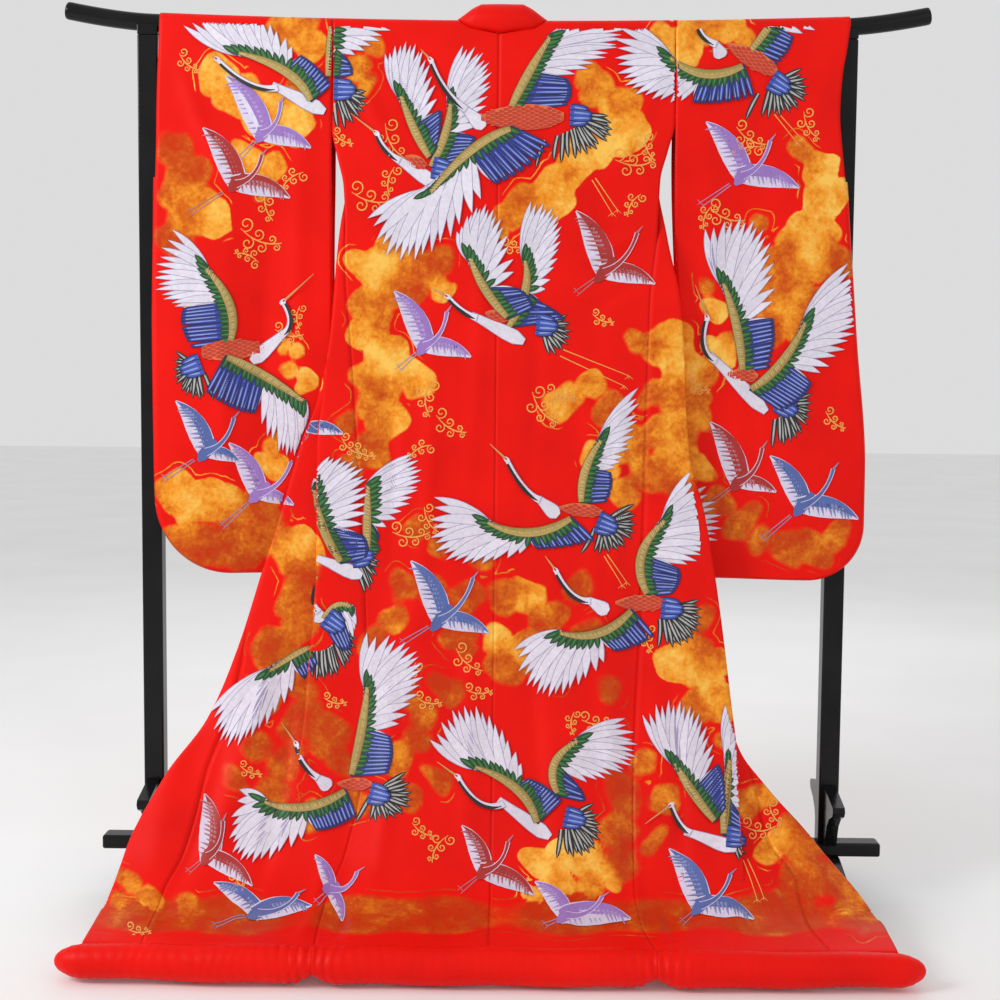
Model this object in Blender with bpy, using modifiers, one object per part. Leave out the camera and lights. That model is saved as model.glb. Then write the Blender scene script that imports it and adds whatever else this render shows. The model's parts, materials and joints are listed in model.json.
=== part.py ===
"""Uchikake wedding kimono spread over a black lacquered kimono stand.

Metres, +Z up, the floor at z = 0. The wide back of the robe faces -Y, and +X is on its right.
Two lengths of cloth hang over the bar, one for each half of the body. Their fronts hang behind
the bar, fold outwards round the sides and open out flat at the trailing hem, which ends in a
padded roll on the floor. The sleeves are flat tubes that the bar runs through. All points are
worked out from the middle of the stand, which then moves back by STAND_Y, so that the origin is
the middle of the whole footprint.

The body cloth is drawn by three numbers: x across the garment, v along the cloth down from the
bar, and the depth of a layer behind the outer face. DRAPE gives the side view of the outer face,
and LEFT and RIGHT give the folds of each half, a row for each section down the cloth.
"""
import bmesh
import bpy
import numpy as np
from math import cos, pi, radians, sin

NAME = "uchikake_on_stand"

# Cloth and seams
WALL = 0.002
SEAM_GAP = 0.0003
SEAM_STRIP = 0.001
FRONT_SEAM_GAP = 0.0026
OKUMI_TIP = 0.008
LAYER = 0.012
COLLAR_WALL = 0.003
PANEL_WIDTH = 0.30
CENTRE_X = 0.004
CLOTH_LENGTH = 1.846
ARMHOLE = 0.24
CUFF = 0.30
SLEEVE_EDGE = 0.011
COLLAR_WIDTH = 0.075
SLIT_END = 0.42

# Stand
STAND_Y = 0.150
BAR_RADIUS = 0.017
BAR_CLEARANCE = 0.0006
BAR_HEIGHT = 1.716
BAR_SAG = 0.012
BAR_HALF = 0.84
BAR_TIP_LIFT = 0.016
POST_X = 0.68
POST_SIZE = (0.040, 0.036)
RAIL_HALF = 0.786
RAIL_SIZE = (0.045, 0.028)
RAIL_BOTTOM = 0.085
FOOT_HALF = 0.22
FOOT_WIDTH = 0.044
BRACKET_WIDTH = 0.024
SADDLE_HEIGHT = 0.020

# Padded hem
ROLL_RADIUS = 0.0348
ROLL_SIDES = 10
ROLL_Y = -0.485
ROLL_SWEEP = 0.018

# Side view of the outer face, from the bar to the hem: y, z
DRAPE = [
    (-0.0215, 1.716),
    (-0.0225, 1.690),
    (-0.033, 1.600),
    (-0.040, 1.450),
    (-0.046, 1.250),
    (-0.053, 1.050),
    (-0.064, 0.860),
    (-0.082, 0.680),
    (-0.112, 0.500),
    (-0.165, 0.300),
    (-0.250, 0.135),
    (-0.360, 0.072),
    (-0.4637, 0.0610),
]

# Depth from the outer face to the front that hangs behind it: v, depth
HOLLOW_COLUMNS = ("v", "depth")
HOLLOW = [
    (0.00, 0.043),
    (0.10, 0.060),
    (0.25, 0.070),
    (0.50, 0.068),
    (0.90, 0.060),
    (1.20, 0.050),
    (1.50, 0.036),
    (1.73, 0.024),
    (1.846, 0.016),
]

# Folds of each half, distances from the middle: v down the cloth, x of the side seam, x of the
# first fold, how far the cloth tucks back there, x of the outer turn, x of the front edge
FOLD_COLUMNS = ("v", "seam", "fold", "tuck", "outer", "edge")
LEFT = [
    (0.00, 0.318, 0.318, 0.000, 0.318, 0.105),
    (0.22, 0.318, 0.318, 0.000, 0.318, 0.103),
    (0.30, 0.308, 0.308, 0.000, 0.308, 0.100),
    (0.42, 0.299, 0.314, 0.000, 0.314, 0.095),
    (0.60, 0.281, 0.322, 0.000, 0.322, 0.092),
    (0.72, 0.272, 0.335, 0.006, 0.346, 0.092),
    (0.80, 0.267, 0.345, 0.018, 0.378, 0.098),
    (0.91, 0.260, 0.346, 0.027, 0.410, 0.124),
    (1.06, 0.249, 0.345, 0.030, 0.455, 0.220),
    (1.20, 0.243, 0.353, 0.024, 0.496, 0.290),
    (1.34, 0.240, 0.362, 0.012, 0.551, 0.376),
    (1.45, 0.246, 0.372, 0.004, 0.622, 0.502),
    (1.59, 0.270, 0.380, 0.000, 0.684, 0.618),
    (1.68, 0.295, 0.384, 0.000, 0.700, 0.660),
    (1.72, 0.298, 0.385, 0.000, 0.706, 0.696),
    (1.76, 0.300, 0.387, 0.000, 0.711, 0.711),
    (1.846, 0.297, 0.390, 0.000, 0.724, 0.724),
]
RIGHT = [
    (0.00, 0.346, 0.346, 0.000, 0.346, 0.105),
    (0.21, 0.346, 0.346, 0.000, 0.346, 0.103),
    (0.30, 0.326, 0.326, 0.000, 0.326, 0.100),
    (0.40, 0.318, 0.348, 0.000, 0.348, 0.096),
    (0.52, 0.302, 0.361, 0.000, 0.361, 0.093),
    (0.60, 0.300, 0.369, 0.000, 0.369, 0.092),
    (0.72, 0.297, 0.375, 0.007, 0.374, 0.092),
    (0.82, 0.295, 0.383, 0.018, 0.378, 0.096),
    (0.93, 0.293, 0.412, 0.030, 0.400, 0.112),
    (1.06, 0.290, 0.435, 0.040, 0.415, 0.160),
    (1.18, 0.286, 0.451, 0.042, 0.430, 0.194),
    (1.29, 0.280, 0.463, 0.040, 0.450, 0.230),
    (1.39, 0.275, 0.473, 0.035, 0.483, 0.286),
    (1.46, 0.273, 0.475, 0.027, 0.535, 0.374),
    (1.55, 0.272, 0.476, 0.018, 0.612, 0.510),
    (1.60, 0.271, 0.476, 0.008, 0.646, 0.570),
    (1.68, 0.269, 0.475, 0.000, 0.690, 0.650),
    (1.72, 0.272, 0.475, 0.000, 0.702, 0.692),
    (1.76, 0.275, 0.475, 0.000, 0.712, 0.712),
    (1.846, 0.292, 0.475, 0.000, 0.735, 0.735),
]
HALVES = {"left": (-1, LEFT), "right": (1, RIGHT)}

# Neck cut-out of one half over the bar: angle over the bar in degrees, distance of the cut from
# the middle of the neck
NECK_COLUMNS = ("angle", "reach")
NECK = [
    (0, 0.060),
    (30, 0.077),
    (60, 0.085),
    (90, 0.090),
    (120, 0.094),
    (150, 0.099),
    (180, 0.105),
]
NECK_X = 0.010
NECK_DROP = 0.010

# The front that hangs behind keeps clear of the sleeve's inner edge as far as this
SLEEVE_CLEARANCE = {"left": 0.295, "right": 0.325}

# Largest soft folds: x at the top, drift of x over the fold, v at the top and bottom, height,
# half width
RIPPLE_COLUMNS = ("x", "drift", "top", "bottom", "height", "width")
RIPPLES = [
    (-0.60, -0.04, 1.30, 1.80, 0.009, 0.040),
    (-0.44, -0.12, 1.05, 1.75, 0.010, 0.045),
    (-0.24, -0.05, 1.10, 1.90, -0.007, 0.030),
    (-0.14, -0.02, 0.90, 1.80, 0.006, 0.050),
    (0.12, 0.03, 0.95, 1.85, 0.007, 0.055),
    (0.28, 0.00, 0.60, 1.85, -0.006, 0.028),
    (0.37, 0.03, 0.90, 1.80, 0.007, 0.035),
    (0.58, 0.06, 1.35, 1.82, 0.008, 0.040),
    (-0.20, 0.05, 0.25, 0.75, -0.004, 0.035),
    (0.22, -0.05, 0.25, 0.80, -0.004, 0.035),
]

# Sleeves: v, x of the body side, x of the cuff side of the near and the far layer, y of the near
# and the far layer at the body side, and y of both at the cuff side, which hangs before the post
SLEEVE_COLUMNS = ("v", "inner", "outer", "outer_far", "near", "far", "cuff_near", "cuff_far")
SLEEVE_LEFT = [
    (0.00, 0.3183, 0.655, 0.655, -0.0215, 0.0213, -0.0215, 0.0213),
    (0.05, 0.3183, 0.656, 0.651, -0.0270, 0.0240, -0.0250, 0.0210),
    (0.10, 0.3184, 0.658, 0.646, -0.0330, 0.0280, -0.0290, 0.0120),
    (0.17, 0.3185, 0.659, 0.646, -0.0370, 0.0310, -0.0340, -0.0120),
    (0.24, 0.3186, 0.660, 0.652, -0.0385, 0.0320, -0.0360, -0.0240),
    (0.30, 0.3188, 0.662, 0.662, -0.0340, 0.0300, -0.0370, -0.0260),
    (0.40, 0.3195, 0.664, 0.664, -0.0230, 0.0230, -0.0370, -0.0260),
    (0.60, 0.3200, 0.668, 0.668, -0.0170, 0.0180, -0.0360, -0.0250),
    (0.85, 0.3240, 0.667, 0.667, -0.0140, 0.0150, -0.0350, -0.0240),
    (1.062, 0.3300, 0.660, 0.660, -0.0110, 0.0110, -0.0340, -0.0240),
]
SLEEVE_RIGHT = [
    (0.00, 0.3463, 0.683, 0.683, -0.0215, 0.0213, -0.0215, 0.0213),
    (0.05, 0.3463, 0.676, 0.664, -0.0270, 0.0240, -0.0250, 0.0215),
    (0.10, 0.3464, 0.668, 0.646, -0.0330, 0.0280, -0.0290, 0.0120),
    (0.17, 0.3465, 0.664, 0.646, -0.0370, 0.0310, -0.0340, -0.0120),
    (0.24, 0.3466, 0.670, 0.654, -0.0385, 0.0320, -0.0360, -0.0240),
    (0.30, 0.3475, 0.677, 0.677, -0.0340, 0.0300, -0.0370, -0.0260),
    (0.40, 0.3510, 0.686, 0.686, -0.0230, 0.0230, -0.0370, -0.0260),
    (0.60, 0.3640, 0.704, 0.704, -0.0170, 0.0180, -0.0360, -0.0250),
    (0.85, 0.3760, 0.727, 0.727, -0.0140, 0.0150, -0.0350, -0.0240),
    (1.064, 0.3850, 0.728, 0.728, -0.0110, 0.0110, -0.0340, -0.0240),
]
SLEEVES = {"left": (-1, SLEEVE_LEFT, 0.140), "right": (1, SLEEVE_RIGHT, 0.105)}

# Rows down the body cloth, v, and columns across each panel
BODY_ROWS = [0.0, 0.11, 0.22, 0.33, SLIT_END]
BODY_ROWS += [0.52, 0.60, 0.68, 0.76, 0.84, 0.92, 1.01, 1.09, 1.125, 1.16, 1.20, 1.28]
BODY_ROWS += [1.35, 1.40, 1.425, 1.445, 1.465, 1.49, 1.54, 1.61, 1.68, 1.72, 1.76, CLOTH_LENGTH]
BODY_COLUMNS = 14
OKUMI_COLUMNS = 9
FIRST_OKUMI_ROW = 5
LAST_COLLAR_ROW = 10

# Colours: base colour, roughness, metallic
FINISHES = {
    "red_satin": ((0.78, 0.02, 0.01), 0.45, 0.0),
    "red_lining": ((0.72, 0.015, 0.01), 0.5, 0.0),
    "black_lacquer": ((0.008, 0.008, 0.010), 0.18, 0.0),
}


def clear_scene():
    for item in list(bpy.data.objects):
        bpy.data.objects.remove(item, do_unlink=True)


def make_collection(name):
    group = bpy.data.collections.new(name)
    bpy.context.scene.collection.children.link(group)
    return group


def make_material(name, finish):
    colour, roughness, metallic = FINISHES[finish]
    material = bpy.data.materials.new(name)
    material.use_nodes = True
    shader = material.node_tree.nodes["Principled BSDF"]
    shader.inputs["Base Color"].default_value = (*colour, 1.0)
    shader.inputs["Roughness"].default_value = roughness
    shader.inputs["Metallic"].default_value = metallic
    return material


def dress(item, finish, group):
    item.data.materials.clear()
    item.data.materials.append(make_material(item.name + "_finish", finish))
    for other in list(item.users_collection):
        other.objects.unlink(item)
    group.objects.link(item)
    return item


# Curves through the tables

def smoothstep(low, high, value):
    t = np.clip((value - low) / (high - low), 0.0, 1.0)
    return t * t * (3.0 - 2.0 * t)


def smooth_read(xs, ys, x):
    """Value at x on a smooth curve through the points that never overshoots them."""
    xs, ys = np.asarray(xs, float), np.asarray(ys, float)
    step = np.diff(xs)
    slope = np.diff(ys) / step
    tangent = np.zeros(len(xs))
    inner = slope[:-1] * slope[1:] > 0
    mean = 2.0 * slope[:-1] * slope[1:] / np.where(inner, slope[:-1] + slope[1:], 1.0)
    tangent[1:-1] = np.where(inner, mean, 0.0)
    tangent[0], tangent[-1] = slope[0], slope[-1]
    x = float(np.clip(x, xs[0], xs[-1]))
    i = int(np.clip(np.searchsorted(xs, x) - 1, 0, len(step) - 1))
    t = (x - xs[i]) / step[i]
    rise = (3.0 - 2.0 * t) * t * t
    return float(ys[i] + rise * (ys[i + 1] - ys[i])
                 + step[i] * t * (1.0 - t) * ((1.0 - t) * tangent[i] - t * tangent[i + 1]))


def read(table, columns, column, value):
    """Smooth value of a named column of a table, at a value of its first column."""
    k = columns.index(column)
    return smooth_read([row[0] for row in table], [row[k] for row in table], value)


def drape_curve():
    """Dense points of the side view with the distance along the cloth to each."""
    points = np.array(DRAPE)
    along = np.concatenate([[0.0], np.cumsum(np.hypot(*np.diff(points, axis=0).T))])
    fine = np.linspace(0.0, along[-1], 800)
    curve = np.array([(smooth_read(along, points[:, 0], s), smooth_read(along, points[:, 1], s))
                      for s in fine])
    length = np.concatenate([[0.0], np.cumsum(np.hypot(*np.diff(curve, axis=0).T))])
    return curve, length * CLOTH_LENGTH / length[-1]


CURVE, CURVE_V = drape_curve()


def drape(v):
    """Point of the side view at v and the direction into the garment there: y, z, ny, nz."""
    y = np.interp(v, CURVE_V, CURVE[:, 0])
    z = np.interp(v, CURVE_V, CURVE[:, 1])
    low, high = max(v - 0.03, 0.0), min(v + 0.03, CLOTH_LENGTH)
    ty = np.interp(high, CURVE_V, CURVE[:, 0]) - np.interp(low, CURVE_V, CURVE[:, 0])
    tz = np.interp(high, CURVE_V, CURVE[:, 1]) - np.interp(low, CURVE_V, CURVE[:, 1])
    size = np.hypot(ty, tz)
    return y, z, -tz / size, ty / size


def bar_rise(x):
    """How far the bar, which sags a little, lies above its middle at x."""
    bend = BAR_SAG * (x / POST_X) ** 2
    beyond = max(abs(x) - POST_X, 0.0) / (BAR_HALF - POST_X)
    return bend + BAR_TIP_LIFT * beyond ** 1.6


def ripple(x, v):
    """Height of the soft folds above the plain drape."""
    height = 0.0
    for top_x, drift, top, bottom, size, width in RIPPLES:
        t = (v - top) / (bottom - top)
        if 0.0 < t < 1.0:
            centre = top_x + drift * t
            height += size * sin(pi * t) ** 0.7 * np.exp(-((x - centre) / width) ** 2)
    return height


def hem_sweep(x):
    """How far the hem curves back towards its ends."""
    return ROLL_SWEEP * smoothstep(0.35, 0.80, abs(x))


def place(x, depth, v):
    """Point of the body cloth."""
    y, z, ny, nz = drape(v)
    inward = depth - ripple(x, v)
    lift = bar_rise(x) * (1.0 - smoothstep(0.0, 1.1, v))
    sweep = hem_sweep(x) * smoothstep(1.2, CLOTH_LENGTH, v)
    return np.array((x, y + ny * inward + sweep, z + nz * inward + lift))


# Sections of one half of the body

def half_ellipse(x, bulge, start, end, share=1.0):
    """A turn of the cloth at x from one depth to another, or its first share."""
    angles = -pi / 2 + share * np.linspace(0.0, pi, 17)
    middle, radius = (start + end) / 2, (end - start) / 2
    return [(x + bulge * cos(a), middle + radius * sin(a)) for a in angles]


def front_path(half, v):
    """Dense section of the front cloth from the side seam to its free edge, with its turns."""
    table = HALVES[half][1]
    seam, fold, tuck, outer, edge = (read(table, FOLD_COLUMNS, name, v) for name in FOLD_COLUMNS[1:])
    depth = read(HOLLOW, HOLLOW_COLUMNS, "depth", v)
    start = depth * (1.0 - smoothstep(ARMHOLE - 0.02, SLIT_END, v))
    share = 1.0 - start / depth
    folds_back = tuck > 0.004
    step = LAYER * min(1.0, 0.4 + tuck / 0.03) if folds_back else 0.0
    first, second = start + step, start + 2 * step
    under = outer - edge
    turns_under = under > 0.004
    third = second + (share * LAYER if turns_under else 0.0)
    last = max(third, depth)
    bulge = min(LAYER / 2, tuck / 2)
    turn = share * LAYER / 2 if turns_under else 0.0
    bend = outer - turn
    clear = min(bend, SLEEVE_CLEARANCE[half])
    bend = clear + (bend - clear) * smoothstep(1.08, 1.25, v)
    ramp = min(0.08, 0.5 * (bend - edge))
    path = [(seam, start)]
    if folds_back:
        path += half_ellipse(fold - bulge, bulge, start, first)
        path += half_ellipse(fold - tuck + bulge, -bulge, first, second)
    if turns_under:
        path += half_ellipse(outer - turn, turn, second, third, min(1.0, under / 0.02))
    else:
        path.append((outer, second))
    if under > 0.02:
        path += [(bend, third), (bend - ramp, last), (edge, last)]
    return soften(np.array(path))


def soften(path):
    """The path with points every 2 mm and its corners rounded."""
    gaps = np.hypot(*np.diff(path, axis=0).T)
    keep = np.concatenate([[True], gaps > 1e-6])
    path = path[keep]
    along = np.concatenate([[0.0], np.cumsum(np.hypot(*np.diff(path, axis=0).T))])
    count = max(int(along[-1] / 0.002), 8)
    even = np.linspace(0.0, along[-1], count + 1)
    fine = np.stack([np.interp(even, along, path[:, k]) for k in (0, 1)], axis=1)
    for _ in range(3):
        fine[1:-1] = (fine[:-2] + 2 * fine[1:-1] + fine[2:]) / 4
    return fine


def crowd(path, start, end, columns):
    """Points on a stretch of the path, set closer together where it bends."""
    step = np.diff(path, axis=0)
    along = np.concatenate([[0.0], np.cumsum(np.hypot(*step.T))])
    heading = np.unwrap(np.arctan2(step[:, 1], step[:, 0]))
    bend = np.concatenate([[0.0], np.abs(np.diff(heading)), [0.0]])
    weight = np.concatenate([[0.0], np.cumsum(np.diff(along) * 10.0 + 0.9 * (bend[1:] + bend[:-1]) / 2)])
    ends = np.interp([start, end], along, weight)
    wanted = np.linspace(ends[0], ends[1], columns + 1)
    place_along = np.interp(wanted, weight, along)
    return [(np.interp(s, along, path[:, 0]), np.interp(s, along, path[:, 1])) for s in place_along]


def front_lengths(path, v):
    """Total length of a section, and the length that the front panel takes of it."""
    total = float(np.sum(np.hypot(*np.diff(path, axis=0).T)))
    tip = OKUMI_TIP if v >= BODY_ROWS[FIRST_OKUMI_ROW] else 0.0
    return total, min(PANEL_WIDTH, total - tip)


def front_row(half, v, columns):
    """Row of the front panel, from its inner edge to the side seam."""
    path = front_path(half, v)
    total, panel = front_lengths(path, v)
    end = min(panel - FRONT_SEAM_GAP / 2, total)
    row = crowd(path, SEAM_GAP / 2, end - SEAM_STRIP, columns - 1) + crowd(path, end, end, 0)
    side = HALVES[half][0]
    return [place(side * x, depth, v) for x, depth in reversed(row)]


def okumi_row(half, v, columns):
    """Row of the overlap panel, from the free edge to its seam on the front panel."""
    path = front_path(half, v)
    total, panel = front_lengths(path, v)
    start = panel + FRONT_SEAM_GAP / 2
    row = crowd(path, start, start, 0) + crowd(path, start + SEAM_STRIP, total, columns - 1)
    side = HALVES[half][0]
    return [place(side * x, depth, v) for x, depth in reversed(row)]


def back_row(half, v, columns):
    """Row of the back panel, from the centre seam to the side seam."""
    side, table = HALVES[half]
    seam = side * (read(table, FOLD_COLUMNS, "seam", v) - SEAM_GAP / 2)
    centre = CENTRE_X + side * SEAM_GAP / 2
    return [place(x, 0.0, v) for x in np.linspace(centre, seam, columns + 1)]


def over_bar(behind, before, angle):
    """Points on the way over the bar, from the row on the viewer's side to the row behind."""
    turn = radians(angle)
    points = []
    for p, q in zip(before, behind):
        middle, reach = (p + q) / 2, (p - q) / 2
        top = BAR_HEIGHT + bar_rise(middle[0]) + BAR_RADIUS + BAR_CLEARANCE + WALL / 2
        point = middle + reach * cos(turn)
        point[2] += (top - middle[2]) * sin(turn)
        points.append(point)
    return points


def neck_x(side, reach):
    return NECK_X + side * reach


def neck_row(half, angle, columns):
    """Row over the bar at an angle, from the neck cut-out to the shoulder's outer edge."""
    side, table = HALVES[half]
    neck = neck_x(side, read(NECK, NECK_COLUMNS, "reach", angle))
    seam = side * (read(table, FOLD_COLUMNS, "seam", 0.0) - SEAM_GAP / 2)
    xs = np.linspace(neck, seam, columns + 1)
    depth = read(HOLLOW, HOLLOW_COLUMNS, "depth", 0.0)
    before = [place(x, 0.0, 0.0) for x in xs]
    behind = [place(x, depth, 0.0) for x in xs]
    return over_bar(behind, before, angle)


# Meshes

def new_mesh_object(name, points, faces, finish, group):
    mesh = bpy.data.meshes.new(name)
    mesh.from_pydata([tuple(p) for p in points], [], faces)
    surface = bmesh.new()
    surface.from_mesh(mesh)
    bmesh.ops.recalc_face_normals(surface, faces=surface.faces)
    surface.to_mesh(mesh)
    surface.free()
    mesh.shade_smooth()
    item = bpy.data.objects.new(name, mesh)
    group.objects.link(item)
    item.data.materials.append(make_material(name + "_finish", finish))
    return item


def thicken(item, thickness):
    """Give an open surface a wall of even thickness, half on each side."""
    wall = item.modifiers.new("wall", "SOLIDIFY")
    wall.thickness = thickness
    wall.offset = 0.0
    wall.use_even_offset = False
    wall.use_rim = True
    return item


def grid_faces(rows, columns):
    faces = []
    for i in range(rows - 1):
        for j in range(columns - 1):
            a = i * columns + j
            faces.append((a, a + 1, a + columns + 1, a + columns))
    return faces


def sheet(name, rows, thickness, finish, group):
    points = [p for row in rows for p in row]
    faces = grid_faces(len(rows), len(rows[0]))
    return thicken(new_mesh_object(name, points, faces, finish, group), thickness)


def body_panel(half, group):
    """One length of cloth: the back, over the bar, and the front, with the neck cut out."""
    rows = [back_row(half, v, BODY_COLUMNS) for v in reversed(BODY_ROWS[1:])]
    rows.append(back_row(half, NECK_DROP, BODY_COLUMNS))
    rows += [neck_row(half, angle, BODY_COLUMNS) for angle, _ in NECK]
    rows += [front_row(half, v, BODY_COLUMNS) for v in BODY_ROWS[1:]]
    return sheet("body_" + half, rows, WALL, "red_satin", group)


def okumi_panel(half, group):
    """Overlap panel between the front panel and the free front edge."""
    rows = [okumi_row(half, v, OKUMI_COLUMNS) for v in BODY_ROWS[FIRST_OKUMI_ROW:]]
    return sheet("okumi_" + half, rows, WALL, "red_satin", group)


def collar_front_section(half, v):
    """Section of the collar where it hangs down the front."""
    side = HALVES[half][0]
    edge, depth = front_path(half, v)[-1]
    edge -= SEAM_GAP
    return [place(side * (edge - COLLAR_WIDTH * t), depth, v) for t in np.linspace(0, 1, 5)]


def collar_neck_section(side, seam, angle):
    """Section of the collar at the neck, which stands over the bar and turns down inside.

    The points are set round the bar by an angle and a radius; the roll is highest at the back.
    """
    lean = max(angle, 0.0) / 180.0
    start_angle = radians(angle)
    start = seam + np.array((0.0, -cos(start_angle), sin(start_angle))) * SEAM_GAP
    centre = BAR_HEIGHT + bar_rise(start[0])
    from_bar = np.array((start[1], start[2] - centre))
    start_radius = np.hypot(*from_bar)
    first = np.arctan2(from_bar[1], -from_bar[0]) % (2 * pi)
    first -= 2 * pi if first > 1.5 * pi else 0.0
    last = radians(140.0 + 38.0 * lean)
    free_radius = 0.031 - 0.0075 * lean
    free_x = NECK_X + (start[0] - NECK_X) * (0.55 - 0.26 * lean)
    lift = 0.022 * (1.0 - lean) ** 1.5
    points = []
    for t in np.linspace(0.0, 1.0, 5):
        turn = first + (last - first) * t
        radius = start_radius + (free_radius - start_radius) * t + lift * sin(pi * t) ** 0.8
        x = start[0] + (free_x - start[0]) * t
        points.append(np.array((x, -radius * cos(turn), centre + radius * sin(turn))))
    return points


def collar(group):
    """Collar from one front, round the neck, to the other front."""
    halves = []
    for half in HALVES:
        side = HALVES[half][0]
        front = [collar_front_section(half, v) for v in BODY_ROWS[LAST_COLLAR_ROW:0:-1]]
        cuts = [(neck_row(half, angle, 1)[0], angle) for angle, _ in reversed(NECK)]
        lifted = [(cut - side * np.array((0.0018, 0.0, 0.0)), angle) for cut, angle in cuts]
        low = back_row(half, NECK_DROP, 1)[0]
        between = (low + cuts[-1][0]) / 2 + np.array((0.0, 0.0, 0.0018))
        neck = [collar_neck_section(side, cut, angle) for cut, angle in lifted + [(between, -8.0)]]
        halves.append(front + neck)
    low = (back_row("left", NECK_DROP, 1)[0] + back_row("right", NECK_DROP, 1)[0]) / 2
    low = low + np.array((0.0, 0.0, 0.0018))
    rows = halves[0] + [collar_neck_section(1, low, -14.0)] + halves[1][::-1]
    return sheet("collar", rows, COLLAR_WALL, "red_satin", group)


def sleeve_point(half, v, share, layer):
    """Point of a sleeve: share goes from the body side to the cuff, layer is near or far."""
    side, table, corner = SLEEVES[half]
    row = dict(zip(SLEEVE_COLUMNS, (read(table, SLEEVE_COLUMNS, name, v) for name in SLEEVE_COLUMNS)))
    length = table[-1][0]
    inner = row["inner"] + SEAM_GAP / 2
    below = max(v - (length - corner), 0.0)
    outer = row["outer"] if layer == "near" else row["outer_far"]
    outer -= corner - (max(corner ** 2 - below ** 2, 0.0)) ** 0.5
    x = inner + (outer - inner) * share
    towards_cuff = smoothstep(0.42, 0.62, x)
    near = row["near"] + (row["cuff_near"] - row["near"]) * towards_cuff
    far = row["far"] + (row["cuff_far"] - row["far"]) * towards_cuff
    middle = (near + far) / 2
    closing = smoothstep(length - 0.10, length, v)
    reach = (far - near) / 2
    reach += (SLEEVE_EDGE / 2 - reach) * closing
    y = middle + (reach if layer == "far" else -reach)
    lift = bar_rise(x) * (1.0 - smoothstep(0.0, 1.1, v))
    return np.array((side * x, y, BAR_HEIGHT - v + lift))


def sleeve(half, group):
    """Flat tube of cloth over the bar, open at the body side and at the cuff."""
    side, table, corner = SLEEVES[half]
    length = table[-1][0]
    vs = [0.0, 0.05, 0.10, 0.17, 0.24, CUFF]
    vs += [float(v) for v in np.linspace(CUFF, length - corner, 7)[1:]]
    vs += [length - corner + corner * sin(radians(a)) for a in (22, 42, 60, 76, 90)]
    columns = 8
    first_closed = vs.index(CUFF)
    shares = np.linspace(0, 1, columns + 1)
    near = [[sleeve_point(half, v, share, "near") for share in shares] for v in vs]
    far = [[sleeve_point(half, v, share, "far") for share in shares] for v in vs]
    arch = [over_bar(far[0], near[0], angle) for angle, _ in NECK[1:-1]]
    rows = near[::-1] + arch + far
    points = [p for row in rows for p in row]
    width, count = columns + 1, len(vs)
    faces = grid_faces(len(rows), width)

    def near_index(i, j):
        return (count - 1 - i) * width + j

    def far_index(i, j):
        return (count + len(arch) + i) * width + j

    rim = [(i, columns) for i in range(first_closed, count)]
    rim += [(count - 1, j) for j in range(columns - 1, -1, -1)]
    edge = []
    for k, (i, j) in enumerate(rim):
        before, after = rim[max(k - 1, 0)], rim[min(k + 1, len(rim) - 1)]
        along = points[near_index(*after)] - points[near_index(*before)]
        out = np.array((-along[2] * side, 0.0, along[0] * side))
        out *= 0.4 * SLEEVE_EDGE / np.linalg.norm(out)
        edge.append(len(points))
        points.append((points[near_index(i, j)] + points[far_index(i, j)]) / 2 + out)
    for k in range(len(rim) - 1):
        a, b = near_index(*rim[k]), near_index(*rim[k + 1])
        c, d = far_index(*rim[k]), far_index(*rim[k + 1])
        faces += [(a, b, edge[k + 1], edge[k]), (edge[k], edge[k + 1], d, c)]
    item = new_mesh_object("sleeve_" + half, points, faces, "red_satin", group)
    return thicken(item, WALL)


def hem_roll(name, start, end, group):
    """One stretch of the padded hem, a full round roll that narrows at its two seams."""
    curve = bpy.data.curves.new(name, "CURVE")
    curve.dimensions = "3D"
    curve.bevel_depth = ROLL_RADIUS
    curve.bevel_resolution = 3
    curve.use_fill_caps = True
    inset = np.array([0.0, 0.005, 0.016, 0.034])
    middle = np.linspace(start + 0.06, end - 0.06, max(int((end - start) / 0.055), 4))
    xs = np.concatenate([start + inset, middle, end - inset[::-1]])
    spline = curve.splines.new("POLY")
    spline.points.add(len(xs) - 1)
    for k, (point, x) in enumerate(zip(spline.points, xs)):
        close = min(x - start, end - x)
        full = 0.80 + 0.20 * smoothstep(0.006, 0.034, close)
        radius = full * (1.0 - (0.022 * (k % 2) if close > 0.05 else 0.0))
        height = radius * ROLL_RADIUS * cos(pi / ROLL_SIDES)
        point.co = (x, ROLL_Y + hem_sweep(x), height, 1.0)
        point.radius = radius
    item = bpy.data.objects.new(name, curve)
    group.objects.link(item)
    item.data.materials.append(make_material(name + "_finish", "red_lining"))
    return item


# Stand

def outline_solid(name, points, thickness, group):
    """Plate with an outline in the plane of Y and Z, centred on its own X."""
    curve = bpy.data.curves.new(name, "CURVE")
    curve.dimensions = "2D"
    curve.fill_mode = "BOTH"
    curve.extrude = thickness / 2
    spline = curve.splines.new("POLY")
    spline.points.add(len(points) - 1)
    for point, (y, z) in zip(spline.points, points):
        point.co = (y, z, 0.0, 1.0)
    spline.use_cyclic_u = True
    item = bpy.data.objects.new(name, curve)
    item.rotation_euler = (pi / 2, 0.0, pi / 2)
    group.objects.link(item)
    return item


def block(name, size, centre, bevel, group):
    bpy.ops.mesh.primitive_cube_add(size=1.0, location=centre)
    item = bpy.context.active_object
    item.name = name
    item.scale = size
    bpy.ops.object.transform_apply(location=False, rotation=False, scale=True)
    edge = item.modifiers.new("edge", "BEVEL")
    edge.width = bevel
    edge.segments = 2
    edge.limit_method = "ANGLE"
    return item


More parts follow.
